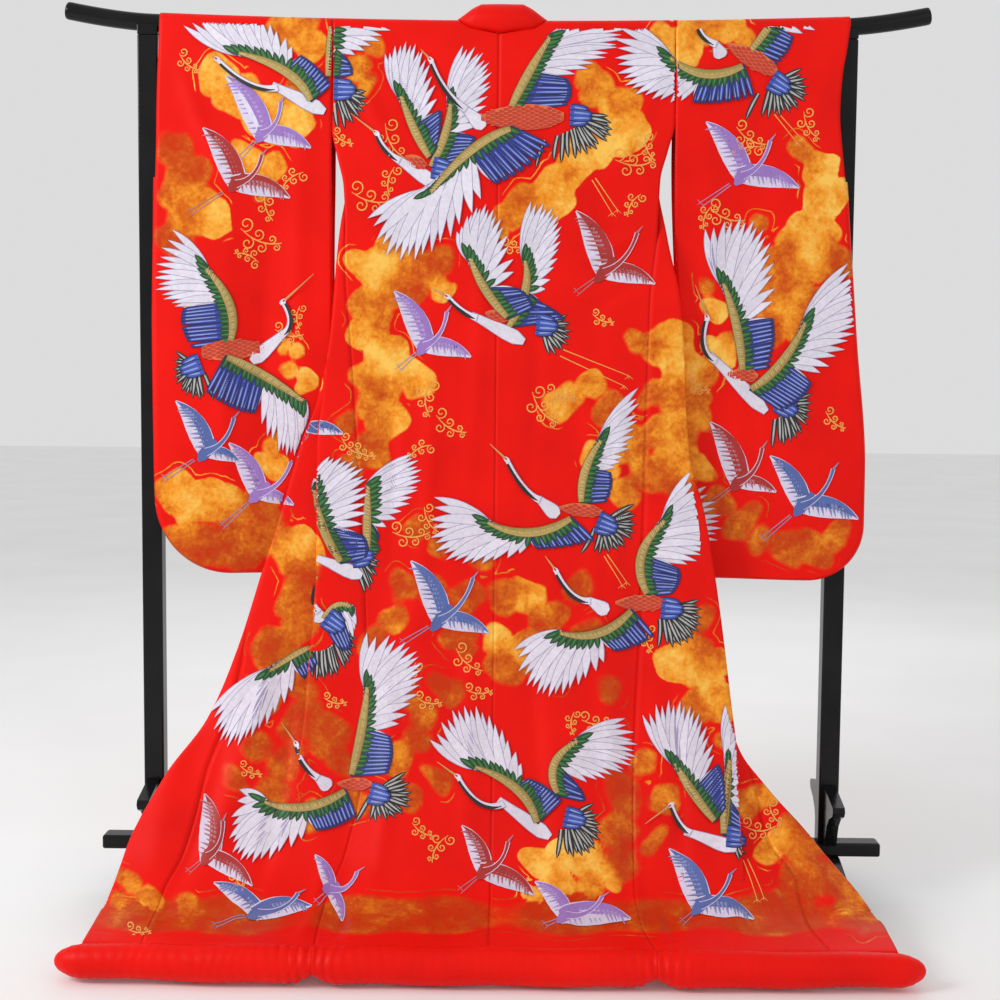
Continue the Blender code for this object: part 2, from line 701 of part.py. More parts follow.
def top_bar(group):
    """Round bar with a slight sag and upturned ends."""
    curve = bpy.data.curves.new("top_bar", "CURVE")
    curve.dimensions = "3D"
    curve.bevel_depth = BAR_RADIUS
    curve.bevel_resolution = 4
    curve.use_fill_caps = True
    half = [0.0, 0.17, 0.34, 0.51, 0.63, 0.68, 0.72, 0.76, 0.80, BAR_HALF]
    xs = [-x for x in reversed(half[1:])] + half
    spline = curve.splines.new("POLY")
    spline.points.add(len(xs) - 1)
    for point, x in zip(spline.points, xs):
        point.co = (x, 0.0, BAR_HEIGHT + bar_rise(x), 1.0)
    item = bpy.data.objects.new("top_bar", curve)
    group.objects.link(item)
    item.data.materials.append(make_material("top_bar_finish", "black_lacquer"))
    return item


def saddle(name, x, cutters, group):
    """Block on a post, hollowed to seat the bar."""
    bar_centre = BAR_HEIGHT + bar_rise(x)
    top = bar_centre - 0.006
    centre = (x, 0.0, top - SADDLE_HEIGHT / 2)
    item = block(name, (*POST_SIZE, SADDLE_HEIGHT), centre, 0.002, group)
    bpy.ops.mesh.primitive_cylinder_add(vertices=32, radius=BAR_RADIUS + SEAM_GAP, depth=0.2,
                                        location=(x, 0.0, bar_centre), rotation=(0.0, pi / 2, 0.0))
    cutter = bpy.context.active_object
    cutter.name = name + "_cutter"
    slope = (bar_rise(x + 0.01 * np.sign(x)) - bar_rise(x - 0.01 * np.sign(x))) / 0.02 * np.sign(x)
    cutter.rotation_euler[1] -= slope
    cutter.hide_render = True
    cutter.display_type = "WIRE"
    dress(cutter, "black_lacquer", cutters)
    seat = item.modifiers.new("seat", "BOOLEAN")
    seat.operation = "DIFFERENCE"
    seat.object = cutter
    return dress(item, "black_lacquer", group)


def foot_outline():
    """Foot that swells up to the rail and falls to rounded toes."""
    half_top = 0.030
    toe = [(-FOOT_HALF, 0.012), (-FOOT_HALF + 0.004, 0.030), (-FOOT_HALF + 0.020, 0.044),
           (-0.150, 0.058), (-0.090, 0.068), (-0.055, 0.078), (-half_top, RAIL_BOTTOM - SEAM_GAP)]
    sole = [(-FOOT_HALF + 0.006, 0.0), (-0.120, 0.0), (-0.100, 0.014)]
    left = sole[::-1] + toe
    return left + [(-y, z) for y, z in reversed(left)]


def bracket_outline(side):
    """Wing bracket against the post, standing on the rail."""
    face = POST_SIZE[1] / 2 + SEAM_GAP
    low = RAIL_BOTTOM + RAIL_SIZE[1] + SEAM_GAP
    shape = [(face, low), (0.040, low), (0.050, 0.135), (0.060, 0.160), (0.080, 0.180),
             (0.108, 0.192), (0.114, 0.202), (0.110, 0.211), (face, 0.232)]
    points = [(side * y, z) for y, z in shape]
    return points if side > 0 else points[::-1]


def stand(group, cutters):
    top_bar(group)
    rail_top = RAIL_BOTTOM + RAIL_SIZE[1]
    rail_centre = (0.0, 0.0, RAIL_BOTTOM + RAIL_SIZE[1] / 2)
    rail = block("lower_rail", (2 * RAIL_HALF, RAIL_SIZE[0], RAIL_SIZE[1]), rail_centre, 0.005, group)
    dress(rail, "black_lacquer", group)
    for half, side in (("left", -1), ("right", 1)):
        x = side * POST_X
        saddle("saddle_" + half, x, cutters, group)
        low = rail_top + SEAM_GAP
        high = BAR_HEIGHT + bar_rise(x) - 0.006 - SADDLE_HEIGHT - SEAM_GAP
        post = block("post_" + half, (*POST_SIZE, high - low), (x, 0.0, (low + high) / 2), 0.003, group)
        dress(post, "black_lacquer", group)
        foot = outline_solid("foot_" + half, foot_outline(), FOOT_WIDTH, group)
        foot.location = (x, 0.0, 0.0)
        foot.data.materials.append(make_material("foot_" + half + "_finish", "black_lacquer"))
        for place_name, facing in (("near", -1), ("far", 1)):
            name = "bracket_" + half + "_" + place_name
            wing = outline_solid(name, bracket_outline(facing), BRACKET_WIDTH, group)
            wing.location = (x, 0.0, 0.0)
            wing.data.materials.append(make_material(name + "_finish", "black_lacquer"))


def build():
    clear_scene()
    group = make_collection(NAME)
    cutters = make_collection("cutters")
    for half in HALVES:
        body_panel(half, group)
        okumi_panel(half, group)
        sleeve(half, group)
    collar(group)
    left_seam, right_seam = -LEFT[-1][1], RIGHT[-1][1]
    hem_roll("hem_roll_left", -0.735, left_seam - SEAM_GAP / 2, group)
    hem_roll("hem_roll_back", left_seam + SEAM_GAP / 2, right_seam - SEAM_GAP / 2, group)
    hem_roll("hem_roll_right", right_seam + SEAM_GAP / 2, 0.752, group)
    stand(group, cutters)
    middle = bpy.data.objects.new("stand_middle", None)
    middle.location = (0.0, STAND_Y, 0.0)
    group.objects.link(middle)
    for item in list(group.objects) + list(cutters.objects):
        if item is not middle:
            item.parent = middle


build()
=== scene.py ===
"""Looks of the uchikake wedding kimono on its black lacquered stand.

The cloth is drawn by three numbers: x across the garment, v along the cloth down from the bar, and
the depth of a layer behind the outer face. The tables repeat the form of the solids, and CREASES
adds the fine folds. The woven cranes, clouds and scrolls are placed by pixels of the photograph,
whose rays are followed to the cloth.
"""

import json
from math import cos, pi, radians, sin

import bmesh
import bpy
import numpy as np
from mathutils import Matrix


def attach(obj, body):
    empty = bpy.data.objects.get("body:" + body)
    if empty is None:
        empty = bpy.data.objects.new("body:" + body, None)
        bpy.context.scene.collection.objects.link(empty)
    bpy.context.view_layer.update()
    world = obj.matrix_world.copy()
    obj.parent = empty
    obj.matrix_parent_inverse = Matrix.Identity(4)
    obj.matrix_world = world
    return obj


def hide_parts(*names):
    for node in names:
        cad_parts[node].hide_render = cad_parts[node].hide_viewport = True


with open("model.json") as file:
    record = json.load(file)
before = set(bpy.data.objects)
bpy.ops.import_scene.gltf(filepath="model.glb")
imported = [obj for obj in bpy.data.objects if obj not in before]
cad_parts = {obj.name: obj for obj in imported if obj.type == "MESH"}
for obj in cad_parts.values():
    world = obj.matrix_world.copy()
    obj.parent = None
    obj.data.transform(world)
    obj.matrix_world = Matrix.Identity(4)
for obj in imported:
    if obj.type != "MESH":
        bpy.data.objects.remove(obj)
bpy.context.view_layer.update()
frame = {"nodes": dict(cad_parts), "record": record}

# Cloth
SHELL = 0.0014
OKUMI_TIP = 0.008
LAYER = 0.012
COLLAR_SHELL = 0.0026
PANEL_WIDTH = 0.30
CENTRE_X = 0.004
CLOTH_LENGTH = 1.846
ARMHOLE = 0.24
CUFF = 0.30
SLEEVE_EDGE = 0.011
COLLAR_WIDTH = 0.075
SLIT_END = 0.42
OKUMI_START = 0.52
OKUMI_TAPER = 0.07
COLLAR_END = 0.92
NECK_X = 0.010
NECK_DROP = 0.010
WALL = 0.002
STEP = 0.0068
INTO_HEM = 0.009
LOW_END = CLOTH_LENGTH + INTO_HEM
SAG_FADES = 1.1
SWEEP_STARTS = 1.2
CREASE_GAIN = 1.35
HEADING_SPAN = 0.03
CUFF_TURN = (0.42, 0.62)
RAISED = 0.0014
LEVEL = 0.00014

# Stand
STAND_Y = 0.150
BAR_RADIUS = 0.017
BAR_CLEARANCE = 0.0006
BAR_HEIGHT = 1.716
BAR_SAG = 0.012
BAR_HALF = 0.84
BAR_TIP_LIFT = 0.016
POST_X = 0.68

# Padded hem
ROLL_RADIUS = 0.0345
ROLL_Y = -0.485
ROLL_SWEEP = 0.006
ROLL_ENDS = (-0.745, 0.755)

# Side view of the outer face, from the bar to the hem: y, z
DRAPE = np.array([
    (-0.0215, 1.716), (-0.0225, 1.690), (-0.033, 1.600), (-0.040, 1.450), (-0.046, 1.250),
    (-0.053, 1.050), (-0.064, 0.860), (-0.082, 0.680), (-0.112, 0.500), (-0.165, 0.300),
    (-0.250, 0.135), (-0.360, 0.072), (-0.4637, 0.0610),
])

# Depth from the outer face to the front that hangs behind it: v, depth
HOLLOW = np.array([
    (0.00, 0.043), (0.10, 0.060), (0.25, 0.070), (0.50, 0.068), (0.90, 0.060),
    (1.20, 0.050), (1.50, 0.036), (1.73, 0.024), (1.846, 0.016),
])

# Folds of each half, distances from the middle
FOLD_COLUMNS = ("v", "seam", "fold", "tuck", "outer", "edge")
LEFT = np.array([
    (0.00, 0.318, 0.318, 0.000, 0.318, 0.105),
    (0.20, 0.318, 0.318, 0.000, 0.318, 0.103),
    (0.25, 0.308, 0.308, 0.000, 0.308, 0.101),
    (0.31, 0.295, 0.295, 0.000, 0.295, 0.099),
    (0.38, 0.292, 0.302, 0.000, 0.302, 0.096),
    (0.45, 0.292, 0.309, 0.000, 0.309, 0.095),
    (0.60, 0.281, 0.322, 0.000, 0.322, 0.092),
    (0.72, 0.272, 0.335, 0.006, 0.346, 0.092),
    (0.80, 0.267, 0.345, 0.018, 0.378, 0.098),
    (0.91, 0.260, 0.346, 0.027, 0.410, 0.124),
    (1.06, 0.249, 0.345, 0.030, 0.455, 0.220),
    (1.20, 0.243, 0.353, 0.024, 0.496, 0.290),
    (1.34, 0.240, 0.362, 0.012, 0.551, 0.376),
    (1.45, 0.246, 0.372, 0.004, 0.622, 0.502),
    (1.59, 0.270, 0.380, 0.000, 0.684, 0.618),
    (1.68, 0.295, 0.384, 0.000, 0.696, 0.660),
    (1.72, 0.298, 0.385, 0.000, 0.699, 0.694),
    (1.76, 0.300, 0.387, 0.000, 0.701, 0.701),
    (1.846, 0.297, 0.390, 0.000, 0.700, 0.700),
])
RIGHT = np.array([
    (0.00, 0.346, 0.346, 0.000, 0.346, 0.105),
    (0.18, 0.346, 0.346, 0.000, 0.346, 0.103),
    (0.24, 0.332, 0.332, 0.000, 0.332, 0.101),
    (0.29, 0.319, 0.319, 0.000, 0.319, 0.100),
    (0.40, 0.314, 0.334, 0.000, 0.334, 0.096),
    (0.52, 0.302, 0.361, 0.000, 0.361, 0.093),
    (0.60, 0.300, 0.369, 0.000, 0.369, 0.092),
    (0.72, 0.297, 0.375, 0.007, 0.374, 0.092),
    (0.82, 0.295, 0.383, 0.018, 0.378, 0.096),
    (0.93, 0.293, 0.412, 0.030, 0.400, 0.112),
    (1.06, 0.290, 0.435, 0.040, 0.415, 0.160),
    (1.18, 0.286, 0.451, 0.042, 0.430, 0.194),
    (1.29, 0.280, 0.463, 0.040, 0.450, 0.230),
    (1.39, 0.275, 0.473, 0.035, 0.483, 0.286),
    (1.46, 0.273, 0.475, 0.027, 0.535, 0.374),
    (1.55, 0.272, 0.476, 0.018, 0.612, 0.510),
    (1.60, 0.271, 0.476, 0.008, 0.646, 0.570),
    (1.68, 0.269, 0.475, 0.000, 0.690, 0.650),
    (1.72, 0.272, 0.475, 0.000, 0.702, 0.692),
    (1.76, 0.275, 0.475, 0.000, 0.710, 0.710),
    (1.846, 0.292, 0.475, 0.000, 0.710, 0.710),
])
HALVES = {"left": (-1, LEFT), "right": (1, RIGHT)}

# Neck cut-out over the bar: angle in degrees, distance of the cut from the middle of the neck
NECK = np.array([(0, 0.060), (30, 0.077), (60, 0.085), (90, 0.090), (120, 0.094), (150, 0.099), (180, 0.105)])
SLEEVE_CLEARANCE = {"left": 0.295, "right": 0.325}

# Largest soft folds: x at the top, drift of x, v at the top and at the bottom, height, half width
RIPPLES = [
    (-0.60, -0.04, 1.30, 1.80, 0.009, 0.040),
    (-0.44, -0.12, 1.05, 1.75, 0.010, 0.045),
    (-0.24, -0.05, 1.10, 1.90, -0.007, 0.030),
    (-0.14, -0.02, 0.90, 1.80, 0.006, 0.050),
    (0.12, 0.03, 0.95, 1.85, 0.007, 0.055),
    (0.28, 0.00, 0.60, 1.85, -0.006, 0.028),
    (0.37, 0.03, 0.90, 1.80, 0.007, 0.035),
    (0.58, 0.06, 1.35, 1.82, 0.008, 0.040),
    (-0.20, 0.05, 0.25, 0.75, -0.004, 0.035),
    (0.22, -0.05, 0.25, 0.80, -0.004, 0.035),
]

# Fine creases of the whole cloth: x and v at both ends, height, half width
CREASES = [
    (-0.31, 0.05, -0.17, 0.30, 0.0030, 0.016),
    (-0.27, 0.02, -0.10, 0.22, -0.0022, 0.014),
    (0.33, 0.05, 0.20, 0.33, 0.0030, 0.017),
    (0.29, 0.02, 0.12, 0.25, -0.0022, 0.014),
    (-0.30, 0.36, -0.12, 0.44, 0.0026, 0.013),
    (-0.29, 0.44, -0.16, 0.50, -0.0024, 0.012),
    (0.31, 0.38, 0.13, 0.46, 0.0026, 0.013),
    (0.30, 0.47, 0.17, 0.55, -0.0022, 0.012),
    (-0.04, 0.25, -0.06, 0.95, 0.0026, 0.018),
    (0.07, 0.30, 0.05, 1.02, -0.0024, 0.017),
    (-0.13, 0.55, -0.16, 1.22, 0.0032, 0.019),
    (0.16, 0.55, 0.19, 1.25, 0.0030, 0.018),
    (-0.22, 0.62, -0.20, 1.05, -0.0030, 0.014),
    (0.24, 0.66, 0.23, 1.10, 0.0032, 0.014),
    (-0.345, 0.92, -0.27, 0.95, 0.0034, 0.009),
    (-0.350, 0.96, -0.265, 1.00, 0.0040, 0.009),
    (-0.352, 1.00, -0.262, 1.035, 0.0036, 0.009),
    (-0.355, 1.05, -0.28, 1.07, 0.0030, 0.010),
    (-0.27, 1.02, -0.12, 1.10, 0.0024, 0.016),
    (0.28, 1.10, 0.12, 1.18, 0.0026, 0.016),
    (-0.06, 1.05, -0.05, 1.62, 0.0034, 0.020),
    (0.05, 1.10, 0.09, 1.70, -0.0034, 0.020),
    (0.20, 1.15, 0.23, 1.74, 0.0036, 0.018),
    (-0.20, 1.20, -0.22, 1.72, 0.0038, 0.018),
    (-0.42, 1.10, -0.52, 1.60, 0.0040, 0.018),
    (-0.39, 1.25, -0.44, 1.72, -0.0040, 0.016),
    (-0.50, 1.30, -0.60, 1.74, -0.0040, 0.018),
    (0.50, 1.48, 0.56, 1.76, -0.0036, 0.016),
    (0.43, 1.15, 0.44, 1.74, 0.0040, 0.015),
    (0.34, 1.20, 0.35, 1.72, -0.0040, 0.015),
    (0.54, 1.50, 0.66, 1.76, 0.0040, 0.016),
    (-0.31, 1.60, -0.33, 1.83, 0.0046, 0.012),
    (-0.27, 1.64, -0.26, 1.83, -0.0042, 0.012),
    (0.27, 1.60, 0.26, 1.83, 0.0046, 0.012),
    (0.31, 1.66, 0.33, 1.83, -0.0040, 0.012),
    (-0.12, 1.66, -0.11, 1.83, 0.0034, 0.016),
    (0.00, 1.68, 0.01, 1.83, -0.0028, 0.016),
    (0.13, 1.66, 0.14, 1.83, 0.0034, 0.016),
    (-0.45, 1.66, -0.46, 1.83, 0.0034, 0.016),
    (-0.58, 1.68, -0.59, 1.83, -0.0030, 0.016),
    (0.44, 1.66, 0.45, 1.83, 0.0034, 0.016),
    (0.60, 1.68, 0.61, 1.83, -0.0030, 0.016),
]

# Creases of the near and the far layer of the sleeves, as distances from the middle
SLEEVE_CREASES = {
    "left": [
        (0.62, 0.06, 0.50, 0.34, 0.0035, 0.018), (0.55, 0.03, 0.42, 0.26, -0.0030, 0.016),
        (0.36, 0.10, 0.37, 0.80, 0.0040, 0.020), (0.43, 0.30, 0.44, 0.98, -0.0036, 0.020),
        (0.51, 0.34, 0.52, 1.00, 0.0040, 0.022), (0.59, 0.40, 0.58, 1.00, -0.0036, 0.020),
        (0.63, 0.62, 0.50, 0.70, 0.0024, 0.014), (0.34, 0.86, 0.48, 0.94, 0.0028, 0.014),
    ],
    "right": [
        (0.65, 0.06, 0.54, 0.36, 0.0035, 0.018), (0.57, 0.03, 0.46, 0.28, -0.0030, 0.016),
        (0.39, 0.12, 0.42, 0.82, 0.0040, 0.020), (0.47, 0.30, 0.50, 0.98, -0.0036, 0.020),
        (0.56, 0.34, 0.59, 1.00, 0.0040, 0.022), (0.64, 0.42, 0.67, 1.00, -0.0036, 0.020),
        (0.70, 0.60, 0.57, 0.70, 0.0024, 0.014), (0.42, 0.88, 0.56, 0.95, 0.0028, 0.014),
    ],
}

SLEEVE_COLUMNS = ("v", "inner", "outer", "outer_far", "near", "far", "cuff_near", "cuff_far")
SLEEVE_LEFT = np.array([
    (0.00, 0.3183, 0.655, 0.655, -0.0215, 0.0213, -0.0215, 0.0213),
    (0.05, 0.3183, 0.656, 0.651, -0.0270, 0.0240, -0.0250, 0.0210),
    (0.10, 0.3184, 0.658, 0.646, -0.0330, 0.0280, -0.0290, 0.0120),
    (0.17, 0.3185, 0.659, 0.646, -0.0370, 0.0310, -0.0340, -0.0120),
    (0.24, 0.3186, 0.660, 0.652, -0.0385, 0.0320, -0.0360, -0.0240),
    (0.30, 0.3188, 0.662, 0.662, -0.0340, 0.0300, -0.0370, -0.0260),
    (0.40, 0.3195, 0.664, 0.664, -0.0230, 0.0230, -0.0370, -0.0260),
    (0.60, 0.3200, 0.668, 0.668, -0.0170, 0.0180, -0.0360, -0.0250),
    (0.85, 0.3240, 0.667, 0.667, -0.0140, 0.0150, -0.0350, -0.0240),
    (1.062, 0.3300, 0.660, 0.660, -0.0110, 0.0110, -0.0340, -0.0240),
])
SLEEVE_RIGHT = np.array([
    (0.00, 0.3463, 0.683, 0.683, -0.0215, 0.0213, -0.0215, 0.0213),
    (0.05, 0.3463, 0.676, 0.664, -0.0270, 0.0240, -0.0250, 0.0215),
    (0.10, 0.3464, 0.668, 0.646, -0.0330, 0.0280, -0.0290, 0.0120),
    (0.17, 0.3465, 0.664, 0.646, -0.0370, 0.0310, -0.0340, -0.0120),
    (0.24, 0.3466, 0.670, 0.654, -0.0385, 0.0320, -0.0360, -0.0240),
    (0.30, 0.3475, 0.677, 0.677, -0.0340, 0.0300, -0.0370, -0.0260),
    (0.40, 0.3510, 0.686, 0.686, -0.0230, 0.0230, -0.0370, -0.0260),
    (0.60, 0.3640, 0.704, 0.704, -0.0170, 0.0180, -0.0360, -0.0250),
    (0.85, 0.3760, 0.727, 0.727, -0.0140, 0.0150, -0.0350, -0.0240),
    (1.064, 0.3850, 0.728, 0.728, -0.0110, 0.0110, -0.0340, -0.0240),
])
SLEEVES = {"left": (-1, SLEEVE_LEFT, 0.140), "right": (1, SLEEVE_RIGHT, 0.105)}

# Camera
CAMERA_PLACE = np.array((0.039, -2.850, 1.0345))
CAMERA_PITCH = 0.0783
CAMERA_YAW = 0.0086
CAMERA_ROLL = 0.0085
CAMERA_PIXELS = 1507.0
PHOTO_SIZE = 1000
SENSOR = 36.0


# Curves through the tables

def smoothstep(low, high, value):
    t = np.clip((np.asarray(value, float) - low) / (high - low), 0.0, 1.0)
    return t * t * (3.0 - 2.0 * t)


def smooth_read(xs, ys, x):
    """Values at x on a smooth curve through the points that never overshoots them."""
    step = np.diff(xs)
    slope = np.diff(ys) / step
    tangent = np.zeros(len(xs))
    inner = slope[:-1] * slope[1:] > 0
    mean = 2.0 * slope[:-1] * slope[1:] / np.where(inner, slope[:-1] + slope[1:], 1.0)
    tangent[1:-1] = np.where(inner, mean, 0.0)
    tangent[0], tangent[-1] = slope[0], slope[-1]
    x = np.clip(np.asarray(x, float), xs[0], xs[-1])
    i = np.clip(np.searchsorted(xs, x) - 1, 0, len(step) - 1)
    t = (x - xs[i]) / step[i]
    rise = (3.0 - 2.0 * t) * t * t
    return ys[i] + rise * (ys[i + 1] - ys[i]) + step[i] * t * (1.0 - t) * (
        (1.0 - t) * tangent[i] - t * tangent[i + 1])


def read(table, columns, column, value):
    return smooth_read(table[:, 0], table[:, columns.index(column)], value)


def along_line(line):
    """Length from the start of a line to each of its points."""
    return np.concatenate([[0.0], np.cumsum(np.hypot(*np.diff(line, axis=0).T))])


def line_length(line):
    return np.hypot(*np.diff(line, axis=0).T).sum()


def unit(way):
    return way / (np.hypot(*way) + 1e-9)


def turned(way):
    """The way turned by a right angle."""
    return np.array((-way[1], way[0]))


def drape_curve():
    along = along_line(DRAPE)
    fine = np.linspace(0.0, along[-1], 1600)
    curve = np.stack([smooth_read(along, DRAPE[:, k], fine) for k in (0, 1)], axis=1)
    length = along_line(curve)
    return curve, length * CLOTH_LENGTH / length[-1]


CURVE, CURVE_V = drape_curve()


def drape(v):
    """Points of the side view at v and the directions into the garment there: y, z, ny, nz.

    Past the end of the solid's cloth, the curve runs straight on into the padded hem.
    """
    past = np.maximum(np.asarray(v, float) - CLOTH_LENGTH, 0.0)
    y = np.interp(v, CURVE_V, CURVE[:, 0]) - past * 0.97
    z = np.interp(v, CURVE_V, CURVE[:, 1]) - past * 0.24
    low, high = np.maximum(v - HEADING_SPAN, 0.0), np.minimum(v + HEADING_SPAN, CLOTH_LENGTH)
    low = np.minimum(low, CLOTH_LENGTH - HEADING_SPAN)
    ty = np.interp(high, CURVE_V, CURVE[:, 0]) - np.interp(low, CURVE_V, CURVE[:, 0])
    tz = np.interp(high, CURVE_V, CURVE[:, 1]) - np.interp(low, CURVE_V, CURVE[:, 1])
    size = np.hypot(ty, tz)
    return y, z, -tz / size, ty / size


def bar_rise(x):
    bend = BAR_SAG * (np.asarray(x) / POST_X) ** 2
    beyond = np.maximum(np.abs(x) - POST_X, 0.0) / (BAR_HALF - POST_X)
    return bend + BAR_TIP_LIFT * beyond ** 1.6


def ripple(x, v):
    """Height of the largest soft folds."""
    height = np.zeros(np.broadcast(x, v).shape)
    for top_x, drift, top, bottom, size, width in RIPPLES:
        t = np.clip((v - top) / (bottom - top), 0.0, 1.0)
        centre = top_x + drift * t
        height = height + size * np.sin(pi * t) ** 0.7 * np.exp(-((x - centre) / width) ** 2)
    return height


def crease_height(creases, x, v):
    """Height of soft troughs and ridges that run between two points and die away at both ends."""
    height = np.zeros(np.broadcast(x, v).shape)
    for x0, v0, x1, v1, size, width in creases:
        along = np.array((x1 - x0, v1 - v0))
        length = np.hypot(*along)
        t = ((x - x0) * along[0] + (v - v0) * along[1]) / length ** 2
        across = ((x - x0) * along[1] - (v - v0) * along[0]) / length
        bow = 0.12 * length * np.clip(t, 0.0, 1.0) * (1.0 - np.clip(t, 0.0, 1.0))
        ends = np.sin(pi * np.clip(t, 0.0, 1.0)) ** 0.8
        height = height + size * ends * np.exp(-((across - bow) / width) ** 2)
    return height


def hem_sweep(x):
    return ROLL_SWEEP * smoothstep(0.35, 0.80, np.abs(x))


def sag_at(x, v):
    """Height that the cloth takes from the bend of the bar, which fades down the cloth."""
    return bar_rise(x) * (1.0 - smoothstep(0.0, SAG_FADES, v))


def sweep_at(x, v):
    """How far the cloth follows the ends of the padded hem backwards."""
    return hem_sweep(x) * smoothstep(SWEEP_STARTS, CLOTH_LENGTH, v)


def place(x, depth, v, raised=0.0):
    """Points of the body cloth, in metres, raised off its outer face."""
    x, depth, v = (np.asarray(a, float) for a in (x, depth, v))
    y, z, ny, nz = drape(v)
    settle = smoothstep(0.0, 0.06, v) * (1.0 - smoothstep(1.80, CLOTH_LENGTH, v))
    inward = depth - ripple(x, v) - CREASE_GAIN * crease_height(CREASES, x, v) * settle - raised
    points = (x, y + ny * inward + sweep_at(x, v) + STAND_Y, z + nz * inward + sag_at(x, v))
    return np.stack(np.broadcast_arrays(*points), axis=-1)


# Sections of one half of the body

def half_ellipse(x, bulge, start, end, share=1.0):
    angles = -pi / 2 + share * np.linspace(0.0, pi, 17)
    middle, radius = (start + end) / 2, (end - start) / 2
    return [(x + bulge * cos(a), middle + radius * sin(a)) for a in angles]


def pleat_step(tuck):
    """Depth of one layer of the pleat, which opens out where the pleat ends."""
    return LAYER * np.minimum(1.0, 0.4 + tuck / 0.03) * smoothstep(0.0, 0.014, tuck)


def fold_sizes(half, v):
    """Distances of the seam, the fold, the tuck, the outer side and the edge at v."""
    table = HALVES[half][1]
    return [float(read(table, FOLD_COLUMNS, name, v)) for name in FOLD_COLUMNS[1:]]


def front_path(half, v):
    """Dense section of the front cloth from the side seam to its free edge, with its turns."""
    seam, fold, tuck, outer, edge = fold_sizes(half, v)
    depth = float(smooth_read(HOLLOW[:, 0], HOLLOW[:, 1], v))
    start = depth * (1.0 - float(smoothstep(ARMHOLE - 0.02, SLIT_END, v)))
    share = 1.0 - start / depth
    folds_back = tuck > 0.0008
    step = float(pleat_step(tuck))
    first, second = start + step, start + 2 * step
    under = outer - edge
    turns_under = under > 0.004
    third = second + (share * LAYER if turns_under else 0.0)
    last = max(third, depth)
    bulge = min(LAYER / 2, tuck / 2)
    turn = share * LAYER / 2 if turns_under else 0.0
    bend = outer - turn
    clear = min(bend, SLEEVE_CLEARANCE[half])
    bend = clear + (bend - clear) * float(smoothstep(1.08, 1.25, v))
    run_in = min(0.08, 0.5 * (bend - edge))
    path = [(seam, start)]
    if folds_back:
        path += half_ellipse(fold - bulge, bulge, start, first)
        path += half_ellipse(fold - tuck + bulge, -bulge, first, second)
    if turns_under:
        path += half_ellipse(outer - turn, turn, second, third, min(1.0, under / 0.02))
    else:
        path.append((outer, second))
    if under > 0.02:
        path += [(bend, third), (bend - run_in, last), (edge, last)]
    return soften(np.array(path))


def soften(path):
    """The path with points every 2 mm and its corners rounded."""
    gaps = np.hypot(*np.diff(path, axis=0).T)
    path = path[np.concatenate([[True], gaps > 1e-6])]
    along = along_line(path)
    count = max(int(along[-1] / 0.002), 8)
    even = np.linspace(0.0, along[-1], count + 1)
    fine = np.stack([np.interp(even, along, path[:, k]) for k in (0, 1)], axis=1)
    for _ in range(3):
        fine[1:-1] = (fine[:-2] + 2 * fine[1:-1] + fine[2:]) / 4
    return fine


def crowd(path, start, end, columns):
    """Points on a stretch of the path, x and depth, set closer together where it bends."""
    along = along_line(path)
    step = np.diff(path, axis=0)
    heading = np.unwrap(np.arctan2(step[:, 1], step[:, 0]))
    bend = np.concatenate([[0.0], np.abs(np.diff(heading)), [0.0]])
    weight = np.concatenate([[0.0], np.cumsum(np.diff(along) * 18.0 + 0.6 * (bend[1:] + bend[:-1]) / 2)])
    ends = np.interp([start, end], along, weight)
    stops = np.interp(np.linspace(ends[0], ends[1], columns + 1), weight, along)
    return np.stack([np.interp(stops, along, path[:, k]) for k in (0, 1)], axis=1)


def front_lengths(path, v):
    """Length of the front cloth's section, and how much of it is the front panel."""
    total = float(line_length(path))
    if v < OKUMI_START:
        return total, total
    widest = total - OKUMI_TIP
    panel = min(PANEL_WIDTH, widest)
    taper = 1.0 - float(smoothstep(OKUMI_START, OKUMI_START + OKUMI_TAPER, v))
    return total, panel + (widest - panel) * taper


def front_row(half, v, columns, overlap=False):
    """Row of the front panel or of its overlap panel, from the inner edge outwards."""
    path = front_path(half, v)
    total, panel = front_lengths(path, v)
    start, end = (panel, total) if overlap else (0.0, panel)
    row = crowd(path, start, end, columns)[::-1]
    return place(HALVES[half][0] * row[:, 0], row[:, 1], v)


def back_row(half, v, columns):
    side, table = HALVES[half]
    seam = side * float(read(table, FOLD_COLUMNS, "seam", v))
    return place(np.linspace(CENTRE_X, seam, columns + 1), 0.0, v)


def over_bar(behind, before, angle):
    """Points on the way over the bar, from the row on the viewer's side to the row behind."""
    middle, reach = (before + behind) / 2, (before - behind) / 2
    top = BAR_HEIGHT + bar_rise(middle[:, 0]) + BAR_RADIUS + BAR_CLEARANCE + WALL / 2
    points = middle + reach * cos(radians(angle))
    points[:, 2] += (top - middle[:, 2]) * sin(radians(angle))
    return points


def neck_row(half, angle, columns):
    side, table = HALVES[half]
    neck = NECK_X + side * float(smooth_read(NECK[:, 0], NECK[:, 1], angle))
    xs = np.linspace(neck, side * table[0, 1], columns + 1)
    return over_bar(place(xs, HOLLOW[0, 1], 0.0), place(xs, 0.0, 0.0), angle)


# Meshes

def grid_faces(rows, columns):
    i, j = np.meshgrid(np.arange(rows - 1), np.arange(columns - 1), indexing="ij")
    a = (i * columns + j).ravel()
    return np.stack([a, a + 1, a + columns + 1, a + columns], axis=1)


